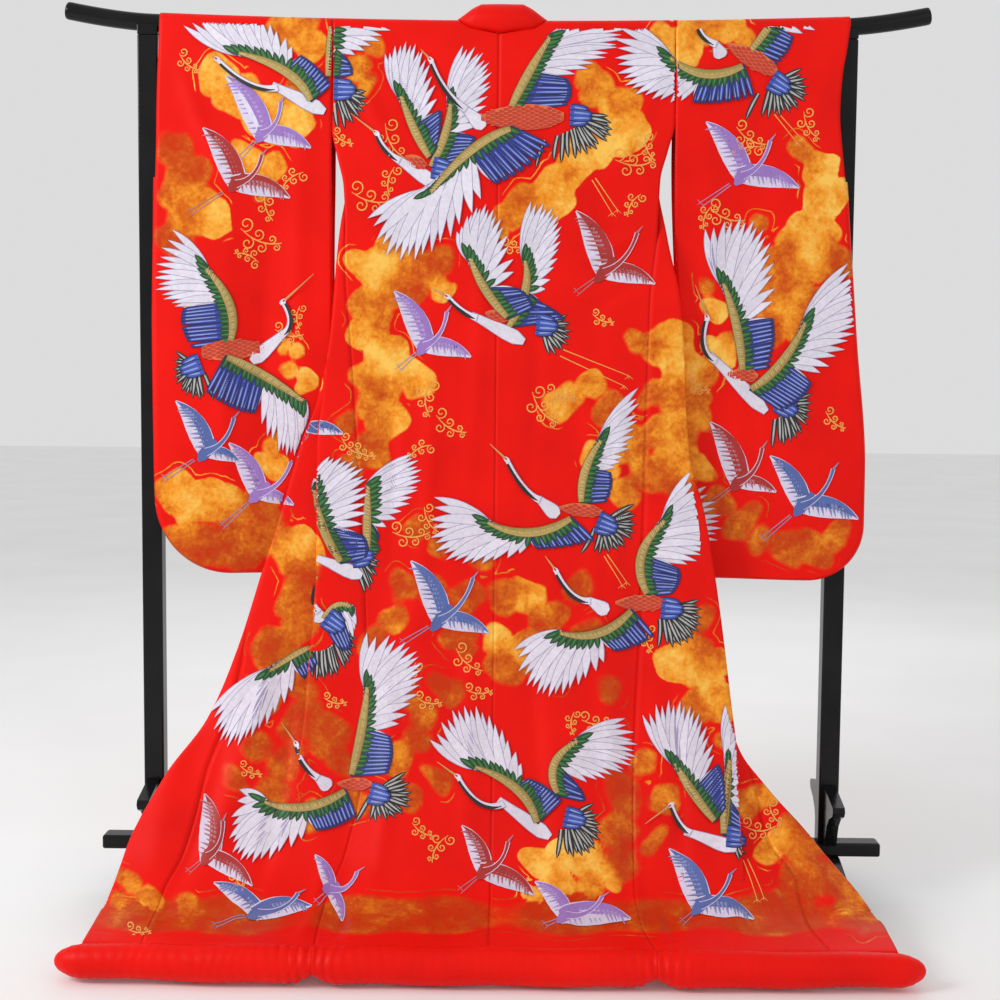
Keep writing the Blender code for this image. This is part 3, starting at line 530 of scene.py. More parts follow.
def new_piece(name, points, faces, material):
    corners = [tuple(p) for p in np.asarray(points, float)]
    mesh = bpy.data.meshes.new(name)
    mesh.from_pydata(corners, [], [tuple(int(k) for k in face) for face in faces])
    surface = bmesh.new()
    surface.from_mesh(mesh)
    bmesh.ops.recalc_face_normals(surface, faces=surface.faces)
    surface.to_mesh(mesh)
    surface.free()
    mesh.shade_smooth()
    item = bpy.data.objects.new(name, mesh)
    bpy.context.scene.collection.objects.link(item)
    mesh.materials.append(material)
    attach(item, "root")
    return item


def thicken(item, thickness):
    wall = item.modifiers.new("wall", "SOLIDIFY")
    wall.thickness = thickness
    wall.offset = 0.0
    wall.use_even_offset = False
    wall.use_rim = True
    return item


def sheet(name, rows, thickness, material):
    points = np.concatenate(rows)
    faces = grid_faces(len(rows), len(rows[0]))
    item = new_piece(name, points, faces, material)
    return thicken(item, thickness)


BACK_VS = np.linspace(NECK_DROP, LOW_END, int(CLOTH_LENGTH / STEP))
FRONT_VS = np.concatenate([np.linspace(0.03, OKUMI_START, 56), np.linspace(OKUMI_START, LOW_END, 160)[1:]])
BODY_COLUMNS = 50
OKUMI_COLUMNS = 26


def body_panel(half, material):
    rows = [back_row(half, v, BODY_COLUMNS) for v in BACK_VS[::-1]]
    rows += [neck_row(half, angle, BODY_COLUMNS) for angle in np.linspace(0, 180, 15)]
    rows += [front_row(half, v, BODY_COLUMNS) for v in FRONT_VS]
    item = sheet("robe_body_" + half, rows, SHELL, material)
    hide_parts("body_" + half)
    return item


def okumi_panel(half, material):
    rows = [front_row(half, v, OKUMI_COLUMNS, overlap=True) for v in FRONT_VS if v >= OKUMI_START]
    item = sheet("robe_okumi_" + half, rows, SHELL, material)
    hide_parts("okumi_" + half)
    return item


def collar_front_section(half, v, columns):
    edge, depth = front_path(half, v)[-1]
    return place(HALVES[half][0] * (edge - COLLAR_WIDTH * np.linspace(0, 1, columns + 1)), depth, v)


def collar_neck_section(start, angle, columns):
    """Section of the collar at the neck, which stands over the bar and turns down inside."""
    lean = max(angle, 0.0) / 180.0
    centre = BAR_HEIGHT + float(bar_rise(start[0]))
    from_bar = np.array((start[1] - STAND_Y, start[2] - centre))
    start_radius = np.hypot(*from_bar)
    first = np.arctan2(from_bar[1], -from_bar[0]) % (2 * pi)
    first -= 2 * pi if first > 1.5 * pi else 0.0
    last = radians(140.0 + 38.0 * lean)
    free_radius = 0.031 - 0.0075 * lean
    free_x = NECK_X + (start[0] - NECK_X) * (0.40 - 0.15 * lean)
    lift = 0.022 * (1.0 - lean) ** 1.5
    t = np.linspace(0.0, 1.0, columns + 1)
    turn = first + (last - first) * t
    radius = start_radius + (free_radius - start_radius) * t + lift * np.sin(pi * t) ** 0.8
    x = start[0] + (free_x - start[0]) * t
    return np.stack([x, STAND_Y - radius * np.cos(turn), centre + radius * np.sin(turn)], axis=1)


def collar(material):
    columns = 14
    proud = 0.0018
    above = np.array((0.0, 0.0, proud))
    halves = []
    for half, (side, _) in HALVES.items():
        front = [collar_front_section(half, v, columns) for v in np.linspace(COLLAR_END, 0.11, 110)]
        angles = np.linspace(180, 0, 19)
        shift = side * np.array((proud, 0.0, 0.0))
        cuts = [neck_row(half, angle, 1)[0] - shift for angle in angles]
        low = back_row(half, NECK_DROP, 1)[0]
        between = (low + cuts[-1] + shift) / 2 + above
        neck = [collar_neck_section(cut, angle, columns) for cut, angle in zip(cuts, angles)]
        halves.append(front + neck + [collar_neck_section(between, -8.0, columns)])
    low = (back_row("left", NECK_DROP, 1)[0] + back_row("right", NECK_DROP, 1)[0]) / 2 + above
    rows = halves[0] + [collar_neck_section(low, -14.0, columns)] + halves[1][::-1]
    item = sheet("robe_collar", rows, COLLAR_SHELL, material)
    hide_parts("collar")
    return item


def cuff_edge(half, v, column):
    """Distance from the middle to a sleeve's cuff side, with its round lower corner."""
    _, table, corner = SLEEVES[half]
    below = np.maximum(v - (table[-1][0] - corner), 0.0)
    straight = read(table, SLEEVE_COLUMNS, column, v)
    return straight - corner + np.sqrt(np.maximum(corner ** 2 - below ** 2, 0.0))


def sleeve_points(half, v, shares, layer):
    """Points of a sleeve: shares go from the body side to the cuff, layer is near or far."""
    inner = read(SLEEVES[half][1], SLEEVE_COLUMNS, "inner", v)
    outer = cuff_edge(half, v, "outer" if layer == "near" else "outer_far")
    return sleeve_surface(half, inner + (outer - inner) * shares, v, layer)


def sleeve_surface(half, x, v, layer, raised=0.0):
    """Points of a sleeve's layer at distances x from the middle and v down the cloth."""
    side, table, _ = SLEEVES[half]
    row = {name: read(table, SLEEVE_COLUMNS, name, v) for name in SLEEVE_COLUMNS}
    length = table[-1][0]
    towards_cuff = smoothstep(*CUFF_TURN, x)
    near = row["near"] + (row["cuff_near"] - row["near"]) * towards_cuff
    far = row["far"] + (row["cuff_far"] - row["far"]) * towards_cuff
    middle = (near + far) / 2
    closing = smoothstep(length - 0.10, length, v)
    reach = (far - near) / 2
    reach = reach + (SLEEVE_EDGE / 2 - reach) * closing
    fine = crease_height(SLEEVE_CREASES[half], x, v) * smoothstep(0.0, 0.06, v) * (1.0 - closing)
    way = 1.0 if layer == "far" else -1.0
    y = middle + way * (reach + raised) - fine * smoothstep(0.003, 0.010, reach)
    return np.stack(np.broadcast_arrays(side * x, y + STAND_Y, BAR_HEIGHT - v + sag_at(x, v)), axis=-1)


def sleeve(half, material):
    side, table, corner = SLEEVES[half]
    length = table[-1][0]
    open_rows = 46
    vs = list(np.linspace(0.0, CUFF, open_rows)) + list(np.linspace(CUFF, length - corner, 92)[1:])
    vs += [length - corner + corner * sin(radians(a)) for a in np.linspace(0, 90, 31)[1:]]
    columns = 48
    shares = np.linspace(0, 1, columns + 1)
    near = [sleeve_points(half, v, shares, "near") for v in vs]
    far = [sleeve_points(half, v, shares, "far") for v in vs]
    arch = [over_bar(far[0], near[0], angle) for angle in np.linspace(0, 180, 15)[1:-1]]
    rows = near[::-1] + arch + far
    points = list(np.concatenate(rows))
    width, count = columns + 1, len(vs)
    faces = [tuple(f) for f in grid_faces(len(rows), width)]

    def near_index(i, j):
        return (count - 1 - i) * width + j

    def far_index(i, j):
        return (count + len(arch) + i) * width + j

    rim = [(i, columns) for i in range(open_rows - 1, count)]
    rim += [(count - 1, j) for j in range(columns - 1, -1, -1)]
    edge = []
    for k, (i, j) in enumerate(rim):
        before, after = rim[max(k - 1, 0)], rim[min(k + 1, len(rim) - 1)]
        along = points[near_index(*after)] - points[near_index(*before)]
        out = np.array((-along[2] * side, 0.0, along[0] * side))
        out *= 0.4 * SLEEVE_EDGE / np.linalg.norm(out)
        edge.append(len(points))
        points.append((points[near_index(i, j)] + points[far_index(i, j)]) / 2 + out)
    for k in range(len(rim) - 1):
        a, b = near_index(*rim[k]), near_index(*rim[k + 1])
        c, d = far_index(*rim[k]), far_index(*rim[k + 1])
        faces += [(a, b, edge[k + 1], edge[k]), (edge[k], edge[k + 1], d, c)]
    item = new_piece("robe_sleeve_" + half, points, faces, material)
    thicken(item, SHELL)
    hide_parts("sleeve_" + half)
    return item


# Padded hem: gathers beside each seam, as x, depth and half width

NOTCH_DEPTH, NOTCH_WIDTH, GATHERED_WIDTH, END_TAPER = 0.42, 0.020, 0.055, 0.054
GATHERS = [
    (-0.300, 0.0030, 0.004), (-0.286, 0.0024, 0.003), (-0.272, 0.0018, 0.004), (-0.318, 0.0026, 0.003),
    (-0.334, 0.0020, 0.004), (-0.352, 0.0014, 0.004), (0.288, 0.0030, 0.004), (0.304, 0.0024, 0.003),
    (0.320, 0.0020, 0.004), (0.272, 0.0026, 0.003), (0.256, 0.0018, 0.004), (0.340, 0.0012, 0.004),
]


def hem_roll(material):
    """The padded hem, a full round roll with gathers and drawn-in undersides at the side seams."""
    names = ("left", "back", "right")
    seams = (ROLL_ENDS[0], -LEFT[-1][1], RIGHT[-1][1], ROLL_ENDS[1])
    around = np.linspace(0.0, 2 * pi, 41)[:-1]
    under = np.maximum(-np.sin(around), 0.0)
    for name, start, end in zip(names, seams[:-1], seams[1:]):
        xs = np.linspace(start, end, int((end - start) / 0.0030))
        open_end = np.minimum(xs - ROLL_ENDS[0], ROLL_ENDS[1] - xs)
        near_seam = np.minimum(np.abs(xs - seams[1]), np.abs(xs - seams[2]))
        notch = NOTCH_DEPTH * np.exp(-(near_seam / NOTCH_WIDTH) ** 2)
        crowded = np.exp(-(near_seam / GATHERED_WIDTH) ** 2)
        full = 1.0 - 0.10 * smoothstep(0.40, 0.70, np.abs(xs))
        full = full * (0.10 + 0.90 * np.sqrt(np.sin(pi / 2 * np.clip(open_end / END_TAPER, 0.0, 1.0))))
        rows = []
        for x, share, cut, close in zip(xs, full, notch, crowded):
            wrinkle = sum(d * np.exp(-((x - g + 0.003 * np.sin(around)) / w) ** 2) for g, d, w in GATHERS)
            pucker = 0.0010 * np.sin(x * 330.0 + 1.7 * np.sin(around * 2.0 + x * 40.0))
            pucker = pucker + 0.0006 * np.sin(x * 790.0 + 2.1 * np.sin(around * 3.0 - x * 23.0))
            pucker = pucker * (0.28 + 0.72 * close)
            swell = 0.0012 * np.sin(x * 31.0 + around)
            radius = ROLL_RADIUS * share * (1.0 - cut * under) - wrinkle + pucker + swell - 0.0022
            y = ROLL_Y + STAND_Y + float(hem_sweep(x)) + radius * np.cos(around)
            z = ROLL_RADIUS + radius * np.sin(around)
            rows.append(np.stack([np.full(len(around), x), y, np.maximum(z, 0.0006)], axis=1))
        points = np.concatenate(rows)
        count, ring = len(rows), len(around)
        faces = []
        for i in range(count - 1):
            for j in range(ring):
                k = (j + 1) % ring
                faces.append((i * ring + j, i * ring + k, (i + 1) * ring + k, (i + 1) * ring + j))
        faces.append(tuple(range(ring)))
        faces.append(tuple((count - 1) * ring + j for j in range(ring)))
        item = new_piece("padded_hem_" + name, points, faces, material)
        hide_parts("hem_roll_" + name)


# Woven cranes: points of the photograph in pixels. A wing goes from its shoulder over the bend to
# the wrist; its long feathers end on the line out, mid, inner, and its blue ones between inner and blue.
WING = ("shoulder", "bend", "wrist", "out", "mid", "inner", "blue")
CRANES = [
    dict(head=(218, 60), beak=(212, 56), neck=(250, 84), base=(278, 88), belly=(325, 112),
         rump=(346, 90), tail=((365, 92), (362, 113), (338, 131)), back=None,
         legs=None, wings=[
             ((327, 76), (329, 48), (331, 14), (402, 8), (386, 36), (346, 60), (352, 74)),
             ((310, 101), (286, 73), (239, 54), (184, 26), (240, 8), (302, 57), (330, 84))]),
    dict(head=(377, 134), beak=(351, 114), neck=(386, 150), base=(400, 161), belly=(437, 185),
         rump=(444, 170), tail=((462, 158), (464, 170), (454, 182)), back=((408, 158), (424, 166)),
         legs=None, wings=[
             ((430, 166), (444, 134), (449, 104), (463, 46), (492, 70), (474, 138), (460, 158)),
             ((428, 158), (413, 130), (400, 97), (385, 54), (420, 48), (440, 112), (436, 146))]),
    dict(head=(431, 61), beak=(421, 50), neck=(446, 90), base=(466, 110), belly=(484, 128),
         rump=(582, 116), tail=((607, 116), (600, 146), (536, 167)), back=((484, 118), (562, 117)),
         legs=((592, 180), (612, 213)), wings=[
             ((510, 107), (527, 74), (549, 37), (620, 12), (622, 44), (566, 80), (566, 104)),
             ((510, 128), (470, 150), (430, 192), (367, 219), (414, 262), (496, 183), (548, 146))]),
    dict(head=(698, 16), beak=(694, 6), neck=(701, 34), base=(716, 45), belly=(722, 58),
         rump=(781, 86), tail=((801, 69), (800, 106), (746, 119)), back=((730, 46), (775, 72)),
         legs=((774, 114), (797, 143)), wings=[
             ((748, 52), (768, 26), (782, 2), (838, 4), (830, 22), (792, 38), (776, 64)),
             ((742, 66), (705, 74), (670, 58), (620, 18), (624, 86), (694, 102), (752, 96))]),
    dict(head=(448, 297), beak=(431, 288), neck=(463, 311), base=(477, 318), belly=(524, 342),
         rump=(548, 326), tail=((566, 315), (569, 340), (550, 357)), back=((488, 314), (508, 318)),
         legs=((560, 356), (624, 386)), wings=[
             ((508, 326), (524, 292), (524, 261), (531, 201), (562, 226), (540, 304), (562, 318)),
             ((506, 318), (484, 290), (469, 259), (457, 232), (494, 208), (518, 290), (532, 306))]),
    dict(head=(283, 302), beak=(314, 274), neck=(290, 322), base=(282, 335), belly=(252, 362),
         rump=(190, 368), tail=((177, 352), (180, 388), (213, 399)), back=((262, 347), (204, 352)),
         legs=None, wings=[
             ((232, 341), (231, 304), (207, 268), (172, 229), (154, 282), (184, 310), (192, 346)),
             ((228, 356), (264, 374), (304, 400), (303, 428), (287, 457), (254, 412), (208, 392))]),
    dict(head=(707, 318), beak=(695, 285), neck=(704, 346), base=(716, 361), belly=(766, 412),
         rump=(788, 408), tail=((811, 394), (803, 430), (772, 447)), back=((730, 374), (756, 376)),
         legs=None, wings=[
             ((741, 370), (735, 326), (722, 284), (705, 229), (764, 228), (772, 320), (768, 366)),
             ((750, 388), (780, 362), (804, 322), (848, 263), (862, 318), (810, 384), (782, 410))]),
    dict(head=(507, 460), beak=(490, 444), neck=(524, 487), base=(540, 500), belly=(558, 516),
         rump=(608, 526), tail=((633, 505), (627, 544), (581, 553)), back=((562, 508), (600, 512)),
         legs=((604, 556), (622, 585)), wings=[
             ((580, 502), (584, 470), (600, 440), (638, 388), (634, 436), (610, 474), (606, 500)),
             ((570, 518), (530, 532), (488, 522), (434, 497), (446, 560), (538, 548), (592, 540))]),
    dict(head=(556, 571), beak=(545, 556), neck=(572, 594), base=(590, 601), belly=(608, 612),
         rump=(673, 609), tail=((698, 600), (694, 636), (658, 647)), back=((618, 603), (662, 603)),
         legs=None, wings=[
             ((646, 594), (640, 556), (664, 520), (692, 470), (722, 528), (678, 570), (672, 592)),
             ((630, 610), (598, 632), (560, 632), (513, 650), (548, 698), (616, 650), (652, 636))]),
    dict(head=None, beak=None, neck=None, base=(322, 560), belly=(362, 576),
         rump=(364, 556), tail=((374, 540), (378, 566), (366, 595)), back=None,
         legs=None, wings=[
             ((366, 552), (366, 520), (367, 486), (412, 454), (420, 486), (378, 536), (372, 550)),
             ((340, 562), (322, 528), (312, 490), (330, 456), (366, 474), (362, 536), (366, 556))]),
    dict(head=(316, 584), beak=None, neck=(313, 600), base=(319, 612), belly=(322, 622),
         rump=(336, 624), tail=((356, 638), (340, 672), (303, 678)), back=None,
         legs=None, wings=[
             ((322, 618), (336, 604), (352, 606), (352, 612), (356, 628), (350, 644), (340, 648)),
             ((308, 646), (290, 655), (268, 670), (208, 712), (238, 746), (302, 676), (316, 664))]),
    dict(head=(296, 744), beak=(280, 722), neck=(304, 764), base=(318, 778), belly=(330, 788),
         rump=(381, 796), tail=((405, 773), (405, 812), (356, 821)), back=((340, 784), (370, 784)),
         legs=None, wings=[
             ((350, 774), (360, 730), (366, 687), (367, 632), (424, 662), (390, 738), (388, 772)),
             ((344, 790), (306, 806), (265, 801), (240, 790), (240, 862), (318, 830), (354, 816))]),
    dict(head=(458, 777), beak=(437, 762), neck=(480, 803), base=(504, 804), belly=(550, 838),
         rump=(576, 820), tail=((593, 804), (596, 846), (557, 858)), back=None,
         legs=None, wings=[
             ((556, 794), (553, 764), (577, 740), (626, 718), (634, 764), (574, 784), (584, 800)),
             ((536, 823), (516, 790), (475, 768), (430, 740), (476, 706), (530, 780), (560, 800))]),
    dict(head=(671, 805), beak=(645, 824), neck=(680, 824), base=(690, 834), belly=(736, 850),
         rump=(738, 838), tail=((744, 841), (746, 853), (740, 863)), back=None,
         legs=((744, 858), (757, 900)), wings=[
             ((722, 834), (724, 798), (728, 760), (726, 700), (740, 760), (739, 816), (741, 836)),
             ((713, 822), (692, 795), (674, 764), (642, 714), (690, 704), (718, 766), (724, 806))]),
]

# Small cranes of one colour: ends of both wings, the middle, the head and the feet
SMALL_COLUMNS = ("colour", "first wing", "second wing", "middle", "head", "feet")
SMALL_CRANES = [
    ("lavender", (226, 76), (311, 148), (262, 134), (281, 102), (240, 158)),
    ("red", (203, 128), (290, 198), (236, 184), (262, 155), (192, 212)),
    ("lavender", (706, 122), (799, 188), (742, 176), (770, 141), (702, 204)),
    ("blue", (176, 401), (240, 462), (206, 452), (234, 418), (166, 478)),
    ("blue", (304, 414), (343, 434), (308, 428), (318, 424), (304, 436)),
    ("lavender", (229, 443), (292, 505), (258, 494), (291, 462), (224, 525)),
    ("lavender", (394, 291), (471, 357), (424, 346), (447, 312), (400, 368)),
    ("red", (576, 211), (655, 284), (604, 272), (637, 233), (578, 292)),
    ("red", (710, 422), (776, 492), (738, 482), (762, 448), (712, 502)),
    ("blue", (770, 456), (858, 519), (802, 506), (833, 469), (764, 538)),
    ("blue", (411, 561), (489, 633), (440, 620), (473, 578), (404, 642)),
    ("red", (205, 794), (252, 886), (208, 858), (224, 822), (190, 872)),
    ("blue", (214, 884), (312, 908), (258, 914), (298, 894), (216, 926)),
    ("lavender", (315, 855), (342, 918), (330, 888), (357, 872), (318, 904)),
    ("red", (462, 826), (534, 896), (484, 872), (508, 842), (462, 890)),
    ("lavender", (535, 882), (631, 920), (566, 920), (602, 898), (546, 926)),
    ("blue", (669, 849), (754, 920), (700, 908), (730, 876), (684, 922)),
]

# Golden clouds: lobes as px, py, radius and brightness
CLOUDS = np.array([
    (215, 78, 21, 0.9), (240, 95, 25, 0.7), (270, 110, 26, 0.8), (297, 122, 22, 0.9), (300, 92, 18, 0.6),
    (175, 148, 22, 0.2), (182, 180, 27, 0.3), (194, 214, 27, 0.5), (218, 222, 20, 1.0), (178, 236, 22, 0.2),
    (245, 160, 20, 0.8), (268, 165, 16, 0.7), (282, 34, 22, 0.5), (306, 46, 20, 0.8), (312, 22, 16, 0.4),
    (262, 190, 12, 0.3), (286, 346, 8, 0.7), (300, 356, 9, 0.7), (286, 370, 10, 0.6), (302, 386, 13, 0.9),
    (172, 488, 22, 0.7), (200, 504, 24, 1.0), (230, 508, 24, 0.6), (256, 500, 20, 0.3), (272, 462, 16, 0.9),
    (268, 530, 24, 0.2), (240, 547, 26, 0.2), (210, 550, 24, 0.2), (184, 538, 20, 0.4), (280, 440, 13, 0.4),
    (582, 78, 14, 0.6), (600, 92, 20, 0.5), (622, 106, 24, 0.6), (634, 124, 20, 1.0), (614, 140, 18, 1.0),
    (590, 152, 20, 0.9), (570, 168, 22, 0.9), (550, 186, 24, 0.8), (528, 200, 22, 0.5), (544, 216, 18, 0.9),
    (514, 216, 16, 0.6), (500, 232, 14, 0.5), (560, 205, 16, 0.9), (360, 262, 18, 0.8), (374, 268, 22, 1.0),
    (396, 252, 20, 0.7), (420, 270, 22, 0.4), (440, 254, 16, 0.3), (400, 292, 24, 0.5), (366, 300, 18, 0.6),
    (438, 288, 14, 0.9), (374, 326, 24, 0.7), (386, 360, 26, 0.9), (374, 396, 24, 0.4), (390, 424, 22, 0.8),
    (374, 450, 22, 0.4), (360, 372, 16, 0.4), (414, 382, 20, 0.7), (350, 420, 14, 0.2), (352, 460, 14, 0.3),
    (560, 402, 20, 0.6), (588, 386, 15, 0.8), (610, 410, 20, 0.4), (630, 440, 24, 0.6), (646, 470, 22, 0.3),
    (620, 490, 18, 0.5), (600, 462, 18, 0.7), (656, 430, 16, 0.6), (662, 345, 22, 0.5), (680, 342, 20, 0.8),
    (680, 370, 25, 0.9), (682, 400, 26, 0.6), (680, 430, 26, 0.4), (678, 460, 24, 0.7), (672, 486, 18, 0.3),
    (700, 420, 18, 0.5), (704, 372, 14, 0.4), (500, 600, 20, 0.4), (525, 596, 20, 0.8), (546, 620, 22, 0.4),
    (530, 650, 22, 0.7), (505, 672, 20, 0.3), (550, 672, 18, 0.2), (500, 642, 16, 0.8), (420, 530, 14, 0.3),
    (442, 546, 12, 0.5), (400, 590, 18, 0.2), (392, 622, 16, 0.5), (470, 650, 12, 0.2), (675, 664, 20, 0.9),
    (700, 676, 22, 1.0), (716, 700, 20, 0.8), (690, 712, 20, 0.4), (722, 660, 14, 0.8), (726, 736, 12, 0.3),
    (540, 858, 16, 0.9), (566, 854, 18, 1.0), (592, 862, 18, 0.9), (610, 880, 13, 0.9), (560, 884, 20, 0.8),
    (534, 896, 12, 0.9), (590, 892, 14, 0.5), (292, 600, 22, 0.4), (300, 630, 24, 0.3), (284, 660, 26, 0.5),
    (260, 690, 22, 0.7), (300, 572, 20, 0.2), (300, 690, 18, 0.2), (270, 640, 18, 0.2), (246, 714, 14, 0.2),
    (296, 548, 22, 1.0), (316, 556, 16, 0.9), (300, 722, 24, 0.1), (330, 736, 26, 0.2), (290, 762, 22, 0.1),
    (270, 792, 20, 0.2), (346, 760, 18, 0.2), (312, 820, 18, 0.5), (400, 762, 20, 0.6), (406, 800, 16, 0.4),
    (420, 742, 16, 0.2), (400, 700, 18, 0.3), (606, 690, 16, 0.1), (620, 800, 20, 0.1), (616, 830, 22, 0.2),
    (626, 860, 20, 0.1), (622, 780, 18, 0.1), (648, 760, 16, 0.4), (662, 800, 18, 0.5), (655, 840, 14, 0.3),
    (800, 150, 14, 0.4), (816, 166, 20, 1.0), (826, 196, 24, 0.9), (818, 230, 26, 0.9), (800, 256, 26, 0.7),
    (776, 272, 24, 0.4), (838, 262, 20, 0.3), (750, 252, 18, 0.4), (726, 258, 14, 0.6), (762, 226, 12, 0.5),
    (760, 292, 26, 0.5), (792, 302, 24, 0.8), (820, 300, 20, 0.3), (800, 332, 18, 0.7), (772, 332, 22, 0.3),
    (716, 308, 14, 0.9), (702, 286, 12, 0.3), (720, 352, 16, 0.9), (736, 336, 12, 0.5), (700, 372, 14, 0.7),
    (790, 550, 20, 0.3), (816, 546, 22, 0.4), (840, 534, 18, 0.3), (764, 542, 16, 0.2), (700, 470, 14, 0.7),
    (716, 500, 18, 0.4), (742, 520, 20, 0.3), (680, 50, 22, 0.9), (700, 30, 18, 0.6), (730, 22, 18, 0.9),
    (746, 36, 13, 0.5), (664, 36, 14, 0.6), (790, 828, 18, 0.5), (806, 850, 22, 0.4), (830, 876, 22, 0.2),
    (850, 902, 20, 0.4), (868, 922, 18, 0.2), (800, 882, 20, 0.2), (776, 850, 18, 0.7), (782, 906, 18, 0.2),
    (130, 882, 14, 0.4), (150, 902, 18, 0.6), (180, 908, 18, 0.3), (118, 908, 14, 0.3),
    (352, 64, 15, 0.5), (372, 44, 14, 0.4), (366, 84, 12, 0.4), (462, 596, 20, 0.2), (482, 560, 16, 0.2),
    (462, 632, 20, 0.2), (444, 686, 20, 0.1), (420, 716, 18, 0.2), (262, 744, 18, 0.1), (430, 590, 18, 0.2),
    (576, 590, 18, 0.2), (590, 640, 20, 0.1), (570, 664, 20, 0.1), (612, 740, 18, 0.2), (374, 640, 16, 0.2),
    (352, 800, 18, 0.2), (440, 776, 16, 0.2), (236, 780, 16, 0.1), (640, 340, 14, 0.5), (650, 392, 16, 0.4),
    (700, 620, 16, 0.3), (700, 650, 18, 0.5), (746, 800, 18, 0.4), (764, 800, 14, 0.7),
])

# Fine golden scrolls: px, py, size, angle in degrees
SCROLLS = [
    (262, 236, 15, 20), (270, 204, 12, 80), (292, 182, 10, 140), (246, 258, 9, 200), (190, 62, 9, 40),
    (396, 142, 14, 60), (374, 196, 15, 10), (392, 182, 10, 100), (344, 138, 8, 30), (636, 160, 14, 0),
    (650, 148, 9, 70), (634, 206, 9, 120), (752, 136, 12, 30), (746, 152, 10, 160), (812, 126, 11, 60),
    (728, 214, 13, 20), (708, 218, 9, 110), (546, 408, 14, 50), (562, 394, 10, 10), (430, 400, 12, 90),
    (452, 424, 12, 30), (420, 452, 9, 150), (412, 532, 13, 0), (432, 520, 10, 60), (352, 446, 9, 40),
    (604, 318, 8, 20), (290, 332, 10, 10), (300, 318, 8, 90), (470, 660, 12, 40), (480, 690, 9, 0),
    (650, 640, 9, 80), (388, 670, 11, 30), (414, 676, 9, 100), (430, 700, 9, 10), (762, 824, 11, 0),
    (778, 812, 9, 60), (440, 850, 11, 120), (424, 830, 9, 30), (252, 770, 8, 20), (598, 720, 11, 0),
    (574, 724, 8, 90), (240, 880, 8, 60), (140, 930, 8, 0), (700, 386, 8, 20), (860, 232, 7, 30),
    (366, 452, 8, 20), (336, 700, 8, 10), (516, 244, 9, 0), (190, 300, 7, 0), (836, 420, 9, 40),
]

INK = (0.006, 0.006, 0.010)
WHITE = (0.80, 0.76, 0.86)
PALE = (0.74, 0.68, 0.85)
LILAC_LINE = (0.40, 0.34, 0.54)
KHAKI = (0.36, 0.25, 0.050)
PALE_KHAKI = (0.52, 0.37, 0.11)
KHAKI_LINE = (0.22, 0.11, 0.015)
KHAKI_RIB = (0.70, 0.55, 0.24)
GREEN = (0.008, 0.115, 0.016)
PALE_GREEN = (0.07, 0.33, 0.08)
GREEN_LINE = (0.003, 0.030, 0.008)
BLUE = (0.020, 0.045, 0.36)
PALE_BLUE = (0.27, 0.35, 0.74)
RUMP_BLUE = (0.035, 0.085, 0.46)
NAVY = (0.004, 0.006, 0.085)
GREY = (0.48, 0.49, 0.46)
SCARLET = (0.60, 0.030, 0.008)
SCARLET_LINE = (0.80, 0.17, 0.040)
CROWN = (0.60, 0.02, 0.02)
BEAK = (0.62, 0.32, 0.10)
THREAD_GOLD = (0.95, 0.40, 0.060)
SMALL_COLOURS = {"lavender": (0.34, 0.18, 0.56), "blue": (0.085, 0.14, 0.42), "red": (0.42, 0.010, 0.006)}


# Drawing with strips of thread, in pixels of the photograph

# Distances between long feathers, blue ones, green ones, ribs, tail feathers and scales
LONG_GAP, BLUE_GAP, GREEN_GAP, RIB_GAP, TAIL_GAP, SCALE_GAP = 6.8, 3.7, 4.4, 3.0, 3.6, 4.4


def arc_through(first, middle, last, count):
    """Points on the parabola from first to last that goes through middle."""
    first, middle, last = (np.array(p, float) for p in (first, middle, last))
    t = np.linspace(0.0, 1.0, count)[:, None]
    pull = 2 * middle - (first + last) / 2
    return (1 - t) ** 2 * first + 2 * t * (1 - t) * pull + t ** 2 * last


